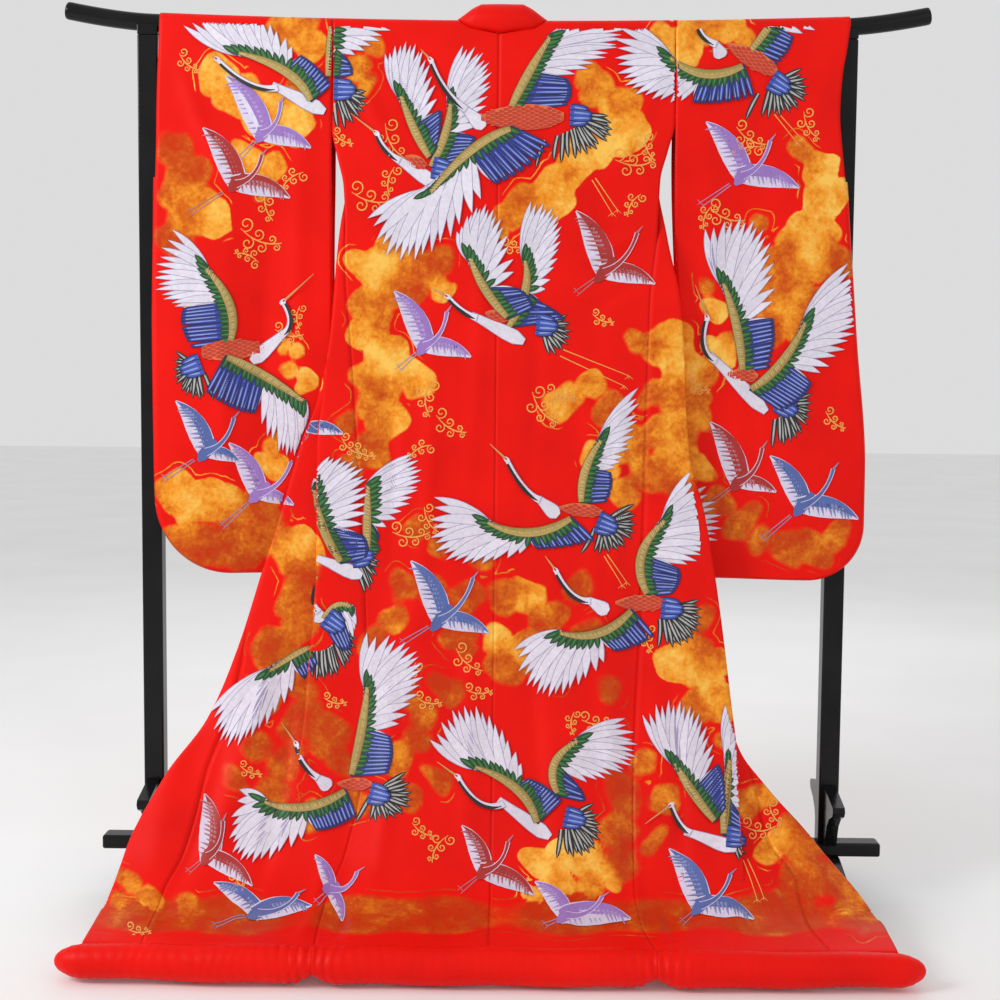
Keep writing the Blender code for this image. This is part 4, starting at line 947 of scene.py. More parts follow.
class Threads:
    """Strips in the picture plane, each at a height of its own, later laid on the cloth."""

    def __init__(self):
        self.points, self.levels, self.colours, self.faces = [], [], [], []
        self.count = 0
        self.chance = np.random.default_rng(7)

    def strip(self, line, widths, colour, level, edge=None):
        """A strip along a line; edge is the colour of its second side, where that is another."""
        line = np.asarray(line, float)
        count = max(int(line_length(line) / 2.2), 3) + 1
        along = np.linspace(0.0, 1.0, len(line))
        even = np.linspace(0.0, 1.0, count)
        middle = np.stack([np.interp(even, along, line[:, k]) for k in (0, 1)], axis=1)
        width = np.interp(even, np.linspace(0.0, 1.0, len(widths)), widths)
        heading = np.gradient(middle, axis=0)
        heading /= np.hypot(*heading.T)[:, None] + 1e-9
        normal = np.stack([-heading[:, 1], heading[:, 0]], axis=1)
        columns = 2 + int(max(widths) > 5) + 2 * int(max(widths) > 9)
        across = np.linspace(-0.5, 0.5, columns)
        grid = middle[:, None] + normal[:, None] * (width[:, None] * across)[..., None]
        tone = 1.0 + 0.07 * self.chance.uniform(-1, 1)
        first = np.array(colour, float) * tone
        last = first if edge is None else np.array(edge, float) * tone
        shade = first + (last - first) * (across + 0.5)[:, None]
        self.points.append(grid.reshape(-1, 2))
        self.colours.append(np.tile(shade, (count, 1)))
        self.levels.append(np.full(count * columns, level * LEVEL))
        self.faces.append(grid_faces(count, columns) + self.count)
        self.count += count * columns

    def feather(self, root, tip, width, colour, outline, level, line=0.7, bow=0.0, start=0.6, end=0.0):
        """A feather with its outline half a level beneath it; end is how blunt its tip is."""
        root, tip = np.array(root, float), np.array(tip, float)
        way = tip - root
        path = arc_through(root, (root + tip) / 2 + turned(way) * bow, tip, 9)
        shape = np.array((start, 0.8, 0.95, 1.0, 1.0, 0.92 + end * 0.08, 0.72 + end * 0.28,
                          0.40 + end * 0.5, end * 0.5)) * width
        longer = path.copy()
        longer[-1] = tip + unit(way) * line
        self.strip(longer, shape + 2 * line * (shape > 0) + 0.2, outline, level)
        self.strip(path, np.maximum(shape, 0.05), colour, level + 0.5)


def draw_wing(threads, wing, floor):
    """Long white feathers, blue ones near the body, then the green row and the pale front edge."""
    part = dict(zip(WING, wing))
    lead = arc_through(part["wrist"], part["bend"], part["shoulder"], 41)
    tips = arc_through(part["out"], part["mid"], part["inner"], 41)
    rim, front = line_length(tips), line_length(lead)
    reach = np.hypot(*(tips[20] - lead[10]))
    way = 1.0 if np.cross(lead[-1] - lead[0], tips[20] - lead[20]) > 0 else -1.0
    count = int(np.clip(rim / LONG_GAP, 6, 17))
    for i in range(count):
        u = i / (count - 1)
        root, tip = lead[int(22 * u)], tips[int(40 * u)]
        tip = root + (tip - root) * (1.0 - 0.05 * (i % 2) - 0.03 * threads.chance.uniform())
        width = max(rim / (count - 1) * 0.88, 3.2)
        threads.feather(root, tip, width, WHITE, LILAC_LINE, floor + i % 3, 0.5, 0.05 * way, 0.45)
    inner = np.array(part["inner"], float)
    blues = arc_through(inner, (inner + part["blue"]) / 2 + (inner - lead[30]) * 0.10, part["blue"], 21)
    stretch = max(line_length(blues), front * 0.5)
    many = int(np.clip(stretch / BLUE_GAP, 5, 14))
    for i in range(many):
        u = i / (many - 1)
        root, tip = lead[int(20 + 20 * u)], blues[int(20 * u)]
        level = floor + 3 + i % 3
        threads.feather(root, tip, stretch / many * 0.88, BLUE, NAVY, level, 1.0, start=0.8, end=0.7)
        stripe = [root + (tip - root) * 0.35, root + (tip - root) * 0.93]
        threads.strip(stripe, (0.6, 1.3, 1.1), PALE_BLUE, level + 0.8)
    cover = int(np.clip(front / GREEN_GAP, 6, 18))
    size = np.clip(0.30 * reach, 9.0, 15.0)
    for i in range(cover):
        u = i / (cover - 1)
        root = lead[int(39 * u)]
        aim = tips[int(40 * u / 0.55)] if u < 0.55 else blues[int(20 * (u - 0.55) / 0.45)]
        heading = unit(aim - root)
        long = size * (1.15 - 0.25 * u)
        level = floor + 6 + i % 3
        threads.feather(root, root + heading * long, 4.2, GREEN, GREEN_LINE, level, 0.9, start=1.0)
        stripe = [root + heading * long * 0.3, root + heading * long * 0.85]
        threads.strip(stripe, (0.9, 0.3), PALE_GREEN, level + 0.8)
    sideways = np.stack([-np.gradient(lead[:, 1]), np.gradient(lead[:, 0])], axis=1)
    sideways /= np.hypot(*sideways.T)[:, None]
    towards = np.sign(np.sum(sideways * (tips[20] - lead[20]), axis=1)).mean()
    band = lead + sideways * towards * 1.2
    shape = np.array((0.3, 0.75, 1.0, 1.05, 0.95, 0.65)) * np.clip(front * 0.11, 4.0, 8.0)
    threads.strip(band, shape + 1.2, KHAKI_LINE, floor + 9)
    threads.strip(band, shape, KHAKI, floor + 9.5, PALE_KHAKI)
    for i in range(1, int(front / RIB_GAP)):
        j = int(40 * i * RIB_GAP / front)
        across = sideways[j] * towards * 2.2 + (lead[40] - lead[j]) * 0.02
        threads.strip([band[j] - across, band[j] + across], (0.3, 0.9, 0.4), KHAKI_RIB, floor + 10)


def draw_legs(threads, legs):
    start, end = (np.array(p, float) for p in legs)
    aside = turned(start - end) * 0.10
    for shift in (0.0, 1.0):
        foot = end + aside * shift * 1.6
        threads.strip([start + aside * shift, foot], (1.1, 0.9, 0.7), THREAD_GOLD, 0)
        for toe in (-4.0, 0.0, 4.0):
            threads.strip([foot, foot + (toe, 3.5)], (0.8, 0.3), THREAD_GOLD, 0)


def draw_back(threads, back, floor):
    """The orange back between the wings, with rows of small scales towards the tail."""
    start, end = (np.array(p, float) for p in back)
    long = np.hypot(*(end - start)) + 1e-9
    ahead = (end - start) / long
    aside = turned(ahead)
    wide = np.clip(0.36 * long, 13.0, 26.0)
    line = [start - ahead * 3, (start + end) / 2, end + ahead * 2]
    threads.strip(line, np.array((0.2, 0.7, 0.95, 1.0, 0.85, 0.3)) * wide, SCARLET_LINE, floor, SCARLET)
    rows = max(int(long / SCALE_GAP), 3)
    for i in range(rows):
        here = start + ahead * (2.0 + SCALE_GAP * i)
        reach = wide * 0.44 * sin(pi * (0.10 + 0.80 * i / rows)) ** 0.7
        for k in range(-3, 4):
            across = (k + 0.5 * (i % 2)) * 4.0
            if abs(across) < reach:
                root = here + aside * across
                tip = root + ahead * 5.4
                threads.feather(root, tip, 3.4, SCARLET, SCARLET_LINE, floor + 1 + i % 2, 0.4, start=1.0)


def draw_crane(threads, crane):
    rump, base, belly = (np.array(crane[k], float) for k in ("rump", "base", "belly"))
    ahead = unit(rump - base)
    aside = turned(ahead)
    if crane["legs"]:
        draw_legs(threads, crane["legs"])
    fan = arc_through(*crane["tail"], 21)
    many = int(np.clip(line_length(fan) / TAIL_GAP, 5, 19))
    for i in range(many):
        tip = fan[int(20 * i / (many - 1))]
        away = tip - rump + ahead * (6.0 + 0.6 * max(np.hypot(*(tip - rump)) - 30.0, 0.0))
        long = np.hypot(*away)
        root = tip - away * min(28.0 / long, 1.0)
        tip = root + (tip - root) * (1.0 - 0.12 * (i % 2))
        bow = 0.04 * threads.chance.uniform(-1, 1)
        threads.feather(root, tip, 1.9, GREY, INK, i % 3, 1.5, bow, 0.9)
    draw_wing(threads, crane["wings"][0], 3)
    body = arc_through(base - (belly - base) * 0.12, (base + belly) / 2, belly, 9)
    shape = np.array((6.0, 8.5, 11.5, 14.0, 14.0, 6.0)) * 0.95
    threads.strip(body, shape + 1.4, LILAC_LINE, 10.5)
    threads.strip(body, shape, WHITE, 11)
    if crane["back"]:
        draw_back(threads, crane["back"], 11)
    for k, size in ((-1.5, 17.0), (1.5, 17.0), (-0.5, 21.0), (0.5, 21.0)):
        root = rump + aside * k * 5.4 - ahead * 12.0
        level = 13 if abs(k) > 1 else 14
        end = root + ahead * size - aside * k * 1.2
        threads.feather(root, end, 5.8, RUMP_BLUE, NAVY, level, 1.0, start=0.7, end=0.7)
        threads.strip([root + ahead * 4, end - ahead * 2], (1.4, 1.9, 1.0), PALE_BLUE, level + 0.8)
    draw_wing(threads, crane["wings"][1], 15)
    if crane["head"] is not None:
        draw_neck(threads, crane, base, 25)


def draw_neck(threads, crane, base, floor):
    """The bent neck with its black side, the head with its red crown, and the beak."""
    head, neck = np.array(crane["head"], float), np.array(crane["neck"], float)
    curve = arc_through(base, neck, head, 21)
    side = 1.0 if np.cross(head - base, neck - base) > 0 else -1.0
    threads.strip(curve, (7.6, 5.8, 5.0, 4.6, 4.8), LILAC_LINE, floor)
    threads.strip(curve, (6.8, 5.0, 4.2, 3.8, 4.0), WHITE, floor + 0.5)
    normal = np.stack([-np.gradient(curve[:, 1]), np.gradient(curve[:, 0])], axis=1)
    normal /= np.hypot(*normal.T)[:, None]
    threads.strip((curve + normal * 1.5 * side)[1:-1], (0.6, 3.4, 3.8, 3.0, 2.6), INK, floor + 1)
    aim = np.array(crane["beak"], float) if crane["beak"] else head + (head - neck) * 0.5
    heading = unit(aim - head)
    skull = [head - heading * 3.4, head, head + heading * 4.2]
    threads.strip(skull, (2.0, 4.8, 4.6, 2.0), WHITE, floor + 1.5)
    threads.strip([head + heading * 0.4, head + heading * 3.4], (1.2, 2.2, 1.0), CROWN, floor + 2)
    threads.strip([head + heading * 3.6, aim], (2.2, 1.4, 0.5), BEAK, floor + 2)


def draw_small_crane(threads, row):
    """A crane of one colour: two leaf-shaped wings with a pale ragged rim, a bent neck and feet."""
    part = dict(zip(SMALL_COLUMNS, row))
    colour = np.array(SMALL_COLOURS[part["colour"]])
    dim = colour * 0.5 + np.array(PALE) * 0.3
    rim = colour * 0.6 + np.array(PALE) * 0.4
    first, second, middle, head, feet = (np.array(part[k], float) for k in SMALL_COLUMNS[1:])
    for shift in (-0.8, 0.8):
        hip, foot = middle + (feet - middle) * 0.3 + shift, feet + shift * 2.0
        threads.strip([hip, foot], (0.9, 0.7), dim, 0)
        for toe in (-2.6, 2.6):
            threads.strip([foot, foot + (-3.0, toe)], (0.7, 0.3), dim, 0)
    leaf = np.array((0.22, 0.33, 0.36, 0.33, 0.25, 0.14, 0.0))
    for floor, tip in ((1, first), (4, second)):
        way = tip - middle
        size = np.hypot(*way)
        ahead = way / size
        back = turned(ahead)
        back = back * (1.0 if np.dot(back, middle - head) > 0 else -1.0)
        spine = arc_through(middle - way * 0.10, (middle + tip) / 2 - back * size * 0.08, tip, 17)
        threads.strip(spine, leaf * size + 1.8, PALE, floor)
        inner = spine - back * size * 0.085 * np.sin(pi * np.linspace(0.15, 1.0, 17))[:, None]
        threads.strip(inner, leaf * size * 0.56, colour, floor + 1)
        for i in range(int(size / 3.0)):
            u = 0.04 + 0.86 * i / int(size / 3.0)
            here = inner[int(16 * u)]
            reach = size * (0.10 + 0.09 * np.sin(pi * min(0.2 + u * 0.8, 1.0))) * (0.8 + 0.4 * (i % 2))
            end = here + back * reach + ahead * reach * 0.5
            threads.strip([here, end], (3.4, 2.6, 0.4), colour, floor + 1, rim)
    tail = middle + (middle - head) * 0.26
    body = arc_through(tail, middle, middle + (head - middle) * 0.35, 9)
    threads.strip(body, np.array((3.0, 11.0, 13.0, 9.0, 5.0)) * 0.9, colour, 7)
    neck = arc_through(middle, (middle + head) / 2 + np.array((4.0, 5.0)), head, 13)
    threads.strip(neck, (8.6, 5.6, 4.4, 3.8, 4.4), PALE, 7.5)
    threads.strip(neck, (7.4, 4.2, 3.0, 2.4, 3.0), colour, 8)
    beak = head + (head - middle) / np.hypot(*(head - middle)) * 9.0
    threads.strip([head, beak], (2.4, 0.4), dim, 8)


def draw_scroll(threads, px, py, size, angle):
    """A curved stem with fine golden curls on both sides."""
    bearing = radians(angle)
    ahead = np.array((cos(bearing), sin(bearing)))
    aside = turned(ahead)
    spot = np.array((px, py), float)
    stem = arc_through(spot - ahead * 1.5 * size, spot + aside * 0.4 * size, spot + ahead * 1.4 * size, 25)
    threads.strip(stem, (0.6, 1.3, 1.4, 0.9), THREAD_GOLD, 0)
    for k in range(6):
        way = 1.0 if k % 2 else -1.0
        radius = size * (0.52 - 0.05 * k)
        centre = stem[2 + 4 * k] + aside * way * radius
        turn = bearing + way * (np.linspace(0.0, 2.5 * pi, 24) - pi / 2)
        shrink = np.linspace(1.0, 0.2, 24)
        curl = centre + radius * (shrink * np.stack([np.cos(turn), np.sin(turn)])).T
        threads.strip(curl, (0.8, 1.5, 1.3, 1.1, 0.9), THREAD_GOLD, 1 + k % 2)


# From pixels to the cloth

ROWS_PER_METRE = 90
FAR_MOTIFS_END = 1.45
DEEPEST_STEP = 0.004
LONGEST_EDGE = 0.035
HEM_GOLD_ROWS = (872, 912, 924, 950)
SLOPE_VS = np.linspace(0.0, CLOTH_LENGTH - 0.02, 1200)


def camera_rays(px, py):
    forward, right, up = camera_basis()
    across = (np.asarray(px) - PHOTO_SIZE / 2) / CAMERA_PIXELS
    down = (np.asarray(py) - PHOTO_SIZE / 2) / CAMERA_PIXELS
    return forward + across[:, None] * right - down[:, None] * up


def rays_to_body(rays):
    """Where rays of the camera meet the body's outer face: x, v and whether they meet it."""
    y, z, _, _ = drape(SLOPE_VS)
    away = y + STAND_Y - CAMERA_PLACE[1]
    slopes = (z - CAMERA_PLACE[2]) / away
    v = np.full(len(rays), 0.9)
    x = np.zeros(len(rays))
    for _ in range(6):
        here = np.interp(v, SLOPE_VS, away)
        sweep, lift = sweep_at(x, v), sag_at(x, v)
        x = CAMERA_PLACE[0] + (here + sweep) * rays[:, 0] / rays[:, 1]
        wanted = (rays[:, 2] / rays[:, 1] * (here + sweep) - lift) / here
        v = np.interp(-wanted, -slopes, SLOPE_VS)
    return x, v, (wanted < slopes[0]) & (wanted > slopes[-1])


def rays_to_sleeve(half, rays):
    """Where rays of the camera meet a sleeve's near face: distance from the middle, v, hit."""
    side, table, _ = SLEEVES[half]
    y = np.full(len(rays), 0.115)
    for _ in range(5):
        t = (y - CAMERA_PLACE[1]) / rays[:, 1]
        x = side * (CAMERA_PLACE[0] + t * rays[:, 0])
        z = CAMERA_PLACE[2] + t * rays[:, 2]
        v = BAR_HEIGHT - z
        v = v + sag_at(x, v)
        y = sleeve_surface(half, x, v, "near")[:, 1]
    inner, outer = read(table, SLEEVE_COLUMNS, "inner", v), cuff_edge(half, v, "outer")
    inside = (x > inner + 0.001) & (x < outer - 0.001)
    return x, v, inside & (v > 0.0) & (v < table[-1][0] - 0.001)


def outer_depth(half, x, v):
    """Depth of the body's outermost layer: the flap that shows beyond a pleat lies deeper."""
    table = HALVES[half][1]
    tuck = read(table, FOLD_COLUMNS, "tuck", v)
    step = pleat_step(tuck)
    return np.where(x > read(table, FOLD_COLUMNS, "fold", v) - 0.001, 2 * step, 0.0)


def front_depth(half, x, v):
    """Depth of the front panel's far layer at distances x from the middle, or -1 where there is none."""
    rows = np.clip(np.round(v * ROWS_PER_METRE).astype(int), 2, int(CLOTH_LENGTH * ROWS_PER_METRE))
    depth = np.full(len(x), -1.0)
    for row in np.unique(rows):
        path = front_path(half, row / ROWS_PER_METRE)
        tail = path[int(np.argmax(path[:, 0])):]
        chosen = rows == row
        inside = (x[chosen] > tail[-1, 0] + 0.002) & (x[chosen] < tail[0, 0] - 0.008)
        found = np.interp(x[chosen], tail[::-1, 0], tail[::-1, 1])
        depth[chosen] = np.where(inside, found, -1.0)
    return depth


def lay_threads(threads, silk):
    """Lay the drawn strips on the cloth, as one piece for each panel's near and far side."""
    flat = np.concatenate(threads.points)
    level = np.concatenate(threads.levels) + RAISED
    colour = np.concatenate(threads.colours)
    faces = np.concatenate(threads.faces)
    rays = camera_rays(flat[:, 0], flat[:, 1])
    x, v, met = rays_to_body(rays)
    region = np.full(len(flat), -1)
    near = np.zeros((len(flat), 3))
    far = np.zeros((len(flat), 3))
    near_depth = np.zeros(len(flat))
    far_ok = np.zeros(len(flat), bool)
    for index, (half, (side, table)) in enumerate(HALVES.items()):
        seam, outer = (read(table, FOLD_COLUMNS, name, v) for name in ("seam", "outer"))
        edge = np.where(v < SLIT_END, seam, outer)
        own = met & (side * (x - CENTRE_X) >= 0) & (np.abs(x) < edge - 0.001)
        region[own] = index
        depth = outer_depth(half, np.abs(x), v)
        near_depth[own] = depth[own]
        near[own] = place(x, depth, v, level)[own]
        behind = np.full(len(flat), -1.0)
        behind[own] = front_depth(half, np.abs(x[own]), v[own])
        ok = own & (behind > 0) & (v < FAR_MOTIFS_END)
        far[ok] = place(x, behind + level, v)[ok]
        far_ok |= ok
        reach, down, hit = rays_to_sleeve(half, rays)
        own = hit & (region < 0)
        region[own] = 2 + index
        near[own] = sleeve_surface(half, reach, down, "near", level)[own]
        far[own] = sleeve_surface(half, reach, down, "far", level)[own]
        far_ok |= own
    kind = np.where(region >= 2, region, np.minimum(region, 0))
    whole = (kind[faces] == kind[faces[:, :1]]).all(axis=1) & (region[faces] >= 0).all(axis=1)
    whole &= np.ptp(near_depth[faces], axis=1) < DEEPEST_STEP
    names = ("body_left", "body_right", "sleeve_left", "sleeve_right")
    made = {name: [] for name in names}
    for points, usable, layer in ((near, whole, "outer"), (far, whole & far_ok[faces].all(axis=1), "inner")):
        stretch = np.abs(points[faces] - points[np.roll(faces, 1, axis=1)]).max(axis=(1, 2))
        usable = usable & (stretch < LONGEST_EDGE)
        for index, name in enumerate(names):
            chosen = faces[usable & (region[faces[:, 0]] == index)]
            if not len(chosen):
                continue
            used, compact = np.unique(chosen, return_inverse=True)
            corners = compact.reshape(-1, 4)
            item = new_piece("woven_%s_%s" % (layer, name), points[used], corners, silk)
            data = item.data.color_attributes.new("Col", "FLOAT_COLOR", "POINT")
            rgba = np.concatenate([colour[used], np.ones((len(used), 1))], axis=1)
            data.data.foreach_set("color", rgba.astype(np.float32).ravel())
            made[name].append(item)
    return made


def woven_motifs(silk):
    threads = Threads()
    for scroll in SCROLLS:
        draw_scroll(threads, *scroll)
    for row in SMALL_CRANES:
        draw_small_crane(threads, row)
    for crane in CRANES:
        draw_crane(threads, crane)
    return lay_threads(threads, silk)


def paint_gold(item):
    """Give a cloth piece the golden clouds and the golden band near the hem, as attributes."""
    mesh = item.data
    points = np.empty(len(mesh.vertices) * 3, np.float32)
    mesh.vertices.foreach_get("co", points)
    points = points.reshape(-1, 3).astype(float)
    forward, right, up = camera_basis()
    away = points - CAMERA_PLACE
    ahead = away @ forward
    px = PHOTO_SIZE / 2 + CAMERA_PIXELS * (away @ right) / ahead
    py = PHOTO_SIZE / 2 - CAMERA_PIXELS * (away @ up) / ahead
    qx = px + 5.0 * np.sin(py / 17.0 + 1.0) + 2.5 * np.sin(py / 6.5 + px / 19.0)
    qy = py + 4.0 * np.sin(px / 15.0) + 2.5 * np.sin(px / 6.0 - py / 21.0)
    inside = np.full(len(points), -100.0)
    bright = np.zeros(len(points))
    total = np.full(len(points), 1e-6)
    for cx, cy, radius, glow in CLOUDS:
        gap = radius - np.hypot(qx - cx, qy - cy)
        inside = np.maximum(inside, gap)
        weight = np.clip(1.0 + gap / radius, 0.0, 2.0) ** 3
        bright += weight * glow
        total += weight
    starts, full, fades, ends = HEM_GOLD_ROWS
    band = 30.0 * smoothstep(starts, full, py) * (1.0 - smoothstep(fades, ends, py)) - 20.0
    band = band + 8.0 * np.sin(px * 0.047) * np.sin(px * 0.013 + 1.0)
    glow = np.where(inside > band, bright / total, 0.05)
    inside = np.maximum(inside, band)
    for name, values in (("gold", np.clip(0.5 + inside / 60.0, 0.0, 1.0)), ("glow", glow)):
        data = mesh.attributes.new(name, "FLOAT", "POINT")
        data.data.foreach_set("value", values.astype(np.float32))


# Materials

# Gold from dark red-orange to bright yellow-gold; the bright end shows the bright clouds' own gold and the
# painted highlights on crinkles and flecks.
GOLD_TONES = [
    (0.20, (0.60, 0.035, 0.004)), (0.38, (0.58, 0.072, 0.006)), (0.55, (0.71, 0.16, 0.010)),
    (0.73, (0.90, 0.32, 0.022)), (0.97, (0.98, 0.57, 0.100)),
]


def feed(tree, node, inputs):
    """Set a node's sockets, or link them where the value is a socket too."""
    for socket, value in inputs.items():
        if isinstance(value, bpy.types.NodeSocket):
            tree.links.new(value, node.inputs[socket])
        else:
            node.inputs[socket].default_value = value


def add(tree, kind, inputs, output=0, **settings):
    """Output of a new node."""
    node = tree.nodes.new(kind)
    for key, value in settings.items():
        setattr(node, key, value)
    feed(tree, node, inputs)
    return node.outputs[output]


def node_material(name):
    """A new material with its tree, its shader and the coordinates of the object."""
    material = bpy.data.materials.new(name)
    material.use_nodes = True
    tree = material.node_tree
    return material, tree, tree.nodes["Principled BSDF"], add(tree, "ShaderNodeTexCoord", {}, "Object")


def ramp(tree, value, stops):
    colour = add(tree, "ShaderNodeValToRGB", {"Fac": value}, "Color")
    elements = colour.node.color_ramp.elements
    while len(elements) < len(stops):
        elements.new(0.5)
    for element, (at, tone) in zip(elements, stops):
        element.position = at
        element.color = (*tone, 1.0)
    return colour


def mix(tree, share, first, second, **settings):
    return add(tree, "ShaderNodeMix", {0: share, 6: first, 7: second}, 2, data_type="RGBA", **settings)


def maths(tree, operation, *values):
    return add(tree, "ShaderNodeMath", dict(enumerate(values)), operation=operation)


def map_range(tree, value, low, high, first=0.0, last=1.0, **settings):
    return add(tree, "ShaderNodeMapRange", {"Value": value, "From Min": low, "From Max": high,
                                            "To Min": first, "To Max": last}, "Result", **settings)


def noise(tree, where, scale, detail, roughness=0.55, distortion=0.0):
    return add(tree, "ShaderNodeTexNoise", {"Vector": where, "Scale": scale, "Detail": detail,
                                            "Roughness": roughness, "Distortion": distortion}, "Fac")


def wave(tree, where, scale, distortion, detail, direction):
    return add(tree, "ShaderNodeTexWave", {"Vector": where, "Scale": scale, "Distortion": distortion,
                                           "Detail": detail}, "Fac", bands_direction=direction)


def bump(tree, height, strength, distance):
    return add(tree, "ShaderNodeBump", {"Height": height, "Strength": strength,
                                        "Distance": distance}, "Normal")


def lacquer():
    """Glossy black lacquer with faint unevenness and dust."""
    material, tree, shader, spot = node_material("black_lacquer")
    cloud = noise(tree, spot, 9.0, 4.0)
    feed(tree, shader, {
        "Base Color": ramp(tree, cloud, [(0.3, (0.004, 0.004, 0.005)), (0.8, (0.011, 0.010, 0.011))]),
        "Roughness": maths(tree, "MULTIPLY_ADD", noise(tree, spot, 38.0, 5.0), 0.16, 0.10),
        "Normal": bump(tree, noise(tree, spot, 60.0, 2.0), 0.05, 0.001),
        "Specular IOR Level": 0.16, "Coat Weight": 0.05, "Coat Roughness": 0.06})
    return material


def woven_gold(tree, spot):
    """Share, colour and relief of the golden clouds, with a thin broken outline round them. The colour
    carries painted highlights: it is lighter on the crinkles and in fine flecks.
    """
    gold = add(tree, "ShaderNodeAttribute", {}, "Fac", attribute_name="gold")
    glow = add(tree, "ShaderNodeAttribute", {}, "Fac", attribute_name="glow")
    ragged = maths(tree, "SUBTRACT", noise(tree, spot, 55.0, 3.0), 0.5)
    edge = maths(tree, "ADD", gold, maths(tree, "MULTIPLY", ragged, 0.05))
    fade = maths(tree, "MULTIPLY", maths(tree, "SUBTRACT", 1.0, glow), 0.13)
    mask = map_range(tree, edge, 0.487, maths(tree, "ADD", fade, 0.505), interpolation_type="SMOOTHSTEP")
    crinkle_and_painted_highlight = noise(tree, spot, 17.0, 5.0, 0.62, 0.3)
    painted_glints = noise(tree, spot, 130.0, 3.0, 0.6, 0.2)
    # Painted highlights: each cloud's own tone is lightened where the crinkle rises and in fine flecks, in
    # the colour itself; the crinkle also gives the relief.
    bright = maths(tree, "ADD", maths(tree, "MULTIPLY", glow, 0.62), maths(tree, "MULTIPLY", crinkle_and_painted_highlight, 1.30))
    bright = maths(tree, "ADD", bright, maths(tree, "MULTIPLY", painted_glints, 0.42))
    colour = ramp(tree, maths(tree, "SUBTRACT", bright, 0.60), GOLD_TONES)
    off_edge = maths(tree, "ABSOLUTE", maths(tree, "SUBTRACT", edge, 0.425))
    outline = map_range(tree, off_edge, 0.006, 0.013, 1.0, 0.0)
    present = map_range(tree, noise(tree, spot, 9.0, 1.0), 0.52, 0.56)
    mask = maths(tree, "MAXIMUM", mask, maths(tree, "MULTIPLY", outline, present))
    return mask, colour, maths(tree, "MULTIPLY", maths(tree, "MULTIPLY", crinkle_and_painted_highlight, mask), 2.6)


def satin(name, patterned):
    """Red silk satin, with woven gold where the cloth's gold attribute says so."""
    material, tree, shader, spot = node_material(name)
    soft = noise(tree, spot, 7.0, 3.0)
    red = ramp(tree, soft, [(0.25, (0.74, 0.004, 0.0015)), (0.75, (0.88, 0.006, 0.002))])
    weave = wave(tree, spot, 260.0, 0.6, 1.0, "Z")
    crush = noise(tree, spot, 42.0, 4.0, 0.6)
    height = maths(tree, "ADD", maths(tree, "MULTIPLY", weave, 0.06), maths(tree, "MULTIPLY", crush, 0.25))
    if patterned:
        mask, gold, relief = woven_gold(tree, spot)
        height = maths(tree, "ADD", height, relief)
        feed(tree, shader, {
            "Base Color": mix(tree, mask, red, gold),
            "Metallic": maths(tree, "MULTIPLY", mask, 0.15),
            "Roughness": maths(tree, "SUBTRACT", 0.50, maths(tree, "MULTIPLY", mask, 0.14))})
    else:
        feed(tree, shader, {"Base Color": red, "Roughness": maths(tree, "MULTIPLY_ADD", crush, 0.12, 0.34)})
    feed(tree, shader, {"Normal": bump(tree, height, 0.30, 0.0022), "Specular IOR Level": 0.12})
    return material


def thread():
    """Embroidery silk, coloured by the motif's own colours, with fine stitches."""
    material, tree, shader, spot = node_material("embroidery_silk")
    colour = add(tree, "ShaderNodeVertexColor", {}, "Color", layer_name="Col")
    tone = noise(tree, spot, 120.0, 3.0)
    shade = ramp(tree, tone, [(0.2, (0.80, 0.80, 0.82)), (0.8, (1.0, 1.0, 1.0))])
    feed(tree, shader, {
        "Base Color": mix(tree, 1.0, colour, shade, blend_type="MULTIPLY"),
        "Roughness": maths(tree, "MULTIPLY_ADD", tone, 0.2, 0.42),
        "Normal": bump(tree, wave(tree, spot, 170.0, 3.0, 2.0, "DIAGONAL"), 0.25, 0.0008),
        "Sheen Weight": 0.2})
    return material


# Stand

def fine_bar(material):
    """The round bar with a slight sag and upturned, rounded ends."""
    curve = bpy.data.curves.new("lacquer_bar", "CURVE")
    curve.dimensions = "3D"
    curve.bevel_depth = BAR_RADIUS
    curve.bevel_resolution = 12
    curve.use_fill_caps = True
    tips = np.array((0.0, 0.0012, 0.004, 0.009))
    half = np.concatenate([np.linspace(0.0, BAR_HALF - 0.012, 60), BAR_HALF - tips[::-1]])
    xs = np.concatenate([-half[:0:-1], half])
    spline = curve.splines.new("POLY")
    spline.points.add(len(xs) - 1)
    for point, x in zip(spline.points, xs):
        point.co = (x, STAND_Y, BAR_HEIGHT + float(bar_rise(x)), 1.0)
        inset = min(BAR_HALF - abs(x), 0.005) / 0.005
        point.radius = 0.80 + 0.20 * (1.0 - (1.0 - inset) ** 2) ** 0.5
    item = bpy.data.objects.new("lacquer_bar", curve)
    bpy.context.scene.collection.objects.link(item)
    curve.materials.append(material)
    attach(item, "root")
    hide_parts("top_bar")


def finish_nodes(material):
    """Give the solids of the stand their lacquer."""
    for row in frame["record"]["subparts"]:
        if row["material_slot"] == "lacquer":
            slots = frame["nodes"][row["node"]].data.materials
            slots.clear()
            slots.append(material)


# Camera, floor and light

def camera_basis():
    """The camera's ways forward, right and up."""
    c, s = cos(CAMERA_YAW), sin(CAMERA_YAW)
    forward = np.array((-s * cos(CAMERA_PITCH), c * cos(CAMERA_PITCH), -sin(CAMERA_PITCH)))
    level = np.array((c, s, 0.0))
    upright = np.cross(level, forward)
    c, s = cos(CAMERA_ROLL), sin(CAMERA_ROLL)
    return forward, level * c + upright * s, upright * c - level * s


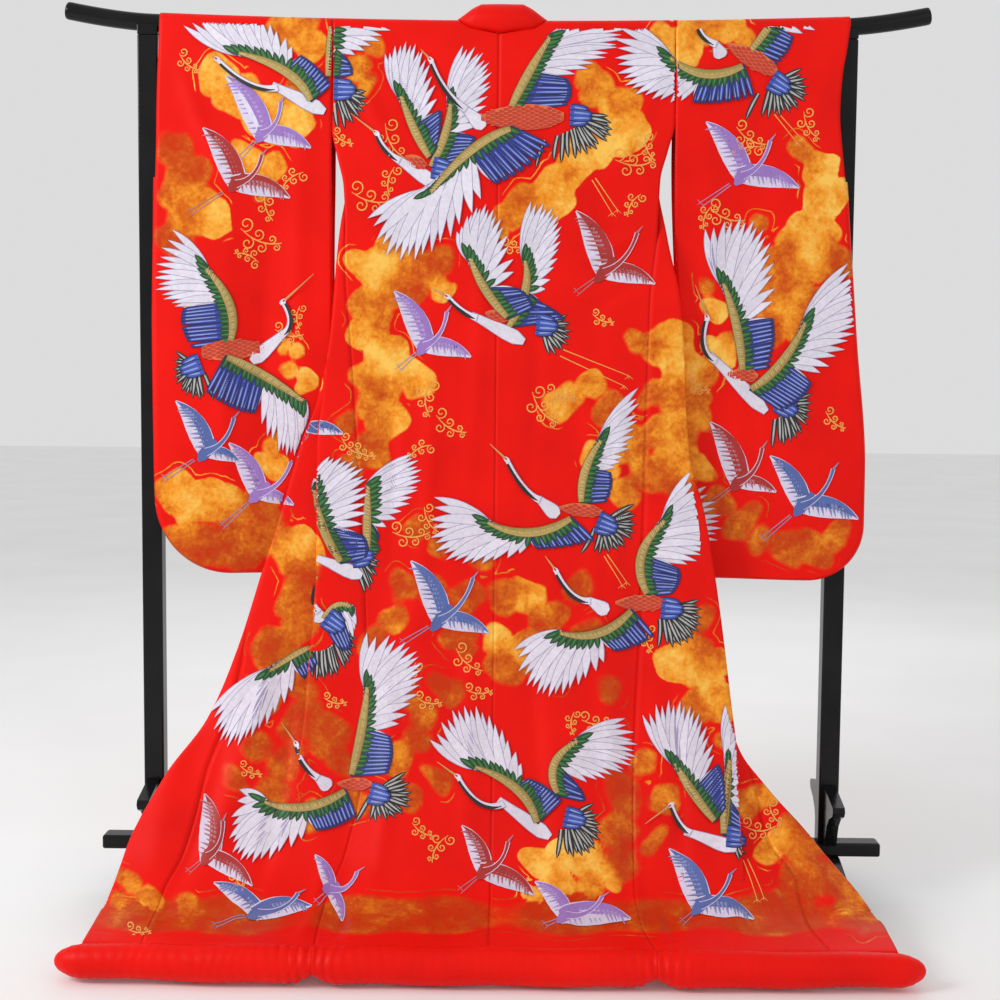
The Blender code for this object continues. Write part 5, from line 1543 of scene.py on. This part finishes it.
def add_camera():
    forward, right, up = camera_basis()
    data = bpy.data.cameras.new("camera")
    data.sensor_width = SENSOR
    data.lens = SENSOR * CAMERA_PIXELS / PHOTO_SIZE
    data.clip_start = 0.05
    item = bpy.data.objects.new("camera", data)
    turn = Matrix((tuple(right), tuple(up), tuple(-forward))).transposed()
    item.matrix_world = Matrix.Translation(tuple(CAMERA_PLACE)) @ turn.to_4x4()
    bpy.context.scene.collection.objects.link(item)
    bpy.context.scene.camera = item


def studio():
    """A plain pale floor, a white sky and three soft lamps."""
    material, tree, shader, spot = node_material("pale_floor")
    tone = ramp(tree, noise(tree, spot, 1.5, 2.0), [(0.3, (0.86, 0.86, 0.86)), (0.7, (0.90, 0.90, 0.90))])
    feed(tree, shader, {"Base Color": tone, "Roughness": 0.7})
    bpy.ops.mesh.primitive_plane_add(size=40.0, location=(0.0, 0.0, -0.001))
    floor = bpy.context.active_object
    floor.name = "floor"
    floor.data.materials.append(material)
    bpy.context.scene.view_settings.view_transform = "Standard"
    world = bpy.data.worlds.new("studio")
    world.use_nodes = True
    sky = world.node_tree.nodes["Background"]
    feed(world.node_tree, sky, {"Color": (1.0, 1.0, 1.0, 1.0), "Strength": 0.72})
    bpy.context.scene.world = world
    lamps = [
        ("key", (-3.2, -1.9, 2.7), 1.4, 78.0),
        ("fill", (2.8, -3.0, 1.8), 2.6, 8.0),
        ("back", (0.5, 3.4, 3.0), 3.0, 26.0),
    ]
    for name, stands_at, size, power in lamps:
        data = bpy.data.lights.new(name, "AREA")
        data.energy = power
        data.size = size
        item = bpy.data.objects.new(name, data)
        item.location = stands_at
        aim = np.array((0.0, 0.1, 0.9)) - np.array(stands_at)
        tilt = np.arctan2(np.hypot(aim[0], aim[1]), -aim[2])
        item.rotation_euler = (tilt, 0.0, np.arctan2(aim[0], -aim[1]) + pi)
        bpy.context.scene.collection.objects.link(item)


def main():
    cloth = satin("red_brocade", True)
    silk = thread()
    woven = woven_motifs(silk)
    pieces = [collar(cloth)]
    for half in HALVES:
        pieces += [body_panel(half, cloth), okumi_panel(half, cloth)]
        pieces.append(sleeve(half, cloth))
    for item in pieces:
        paint_gold(item)
    hem_roll(satin("red_lining", False))
    black = lacquer()
    fine_bar(black)
    finish_nodes(black)
    add_camera()
    studio()


main()
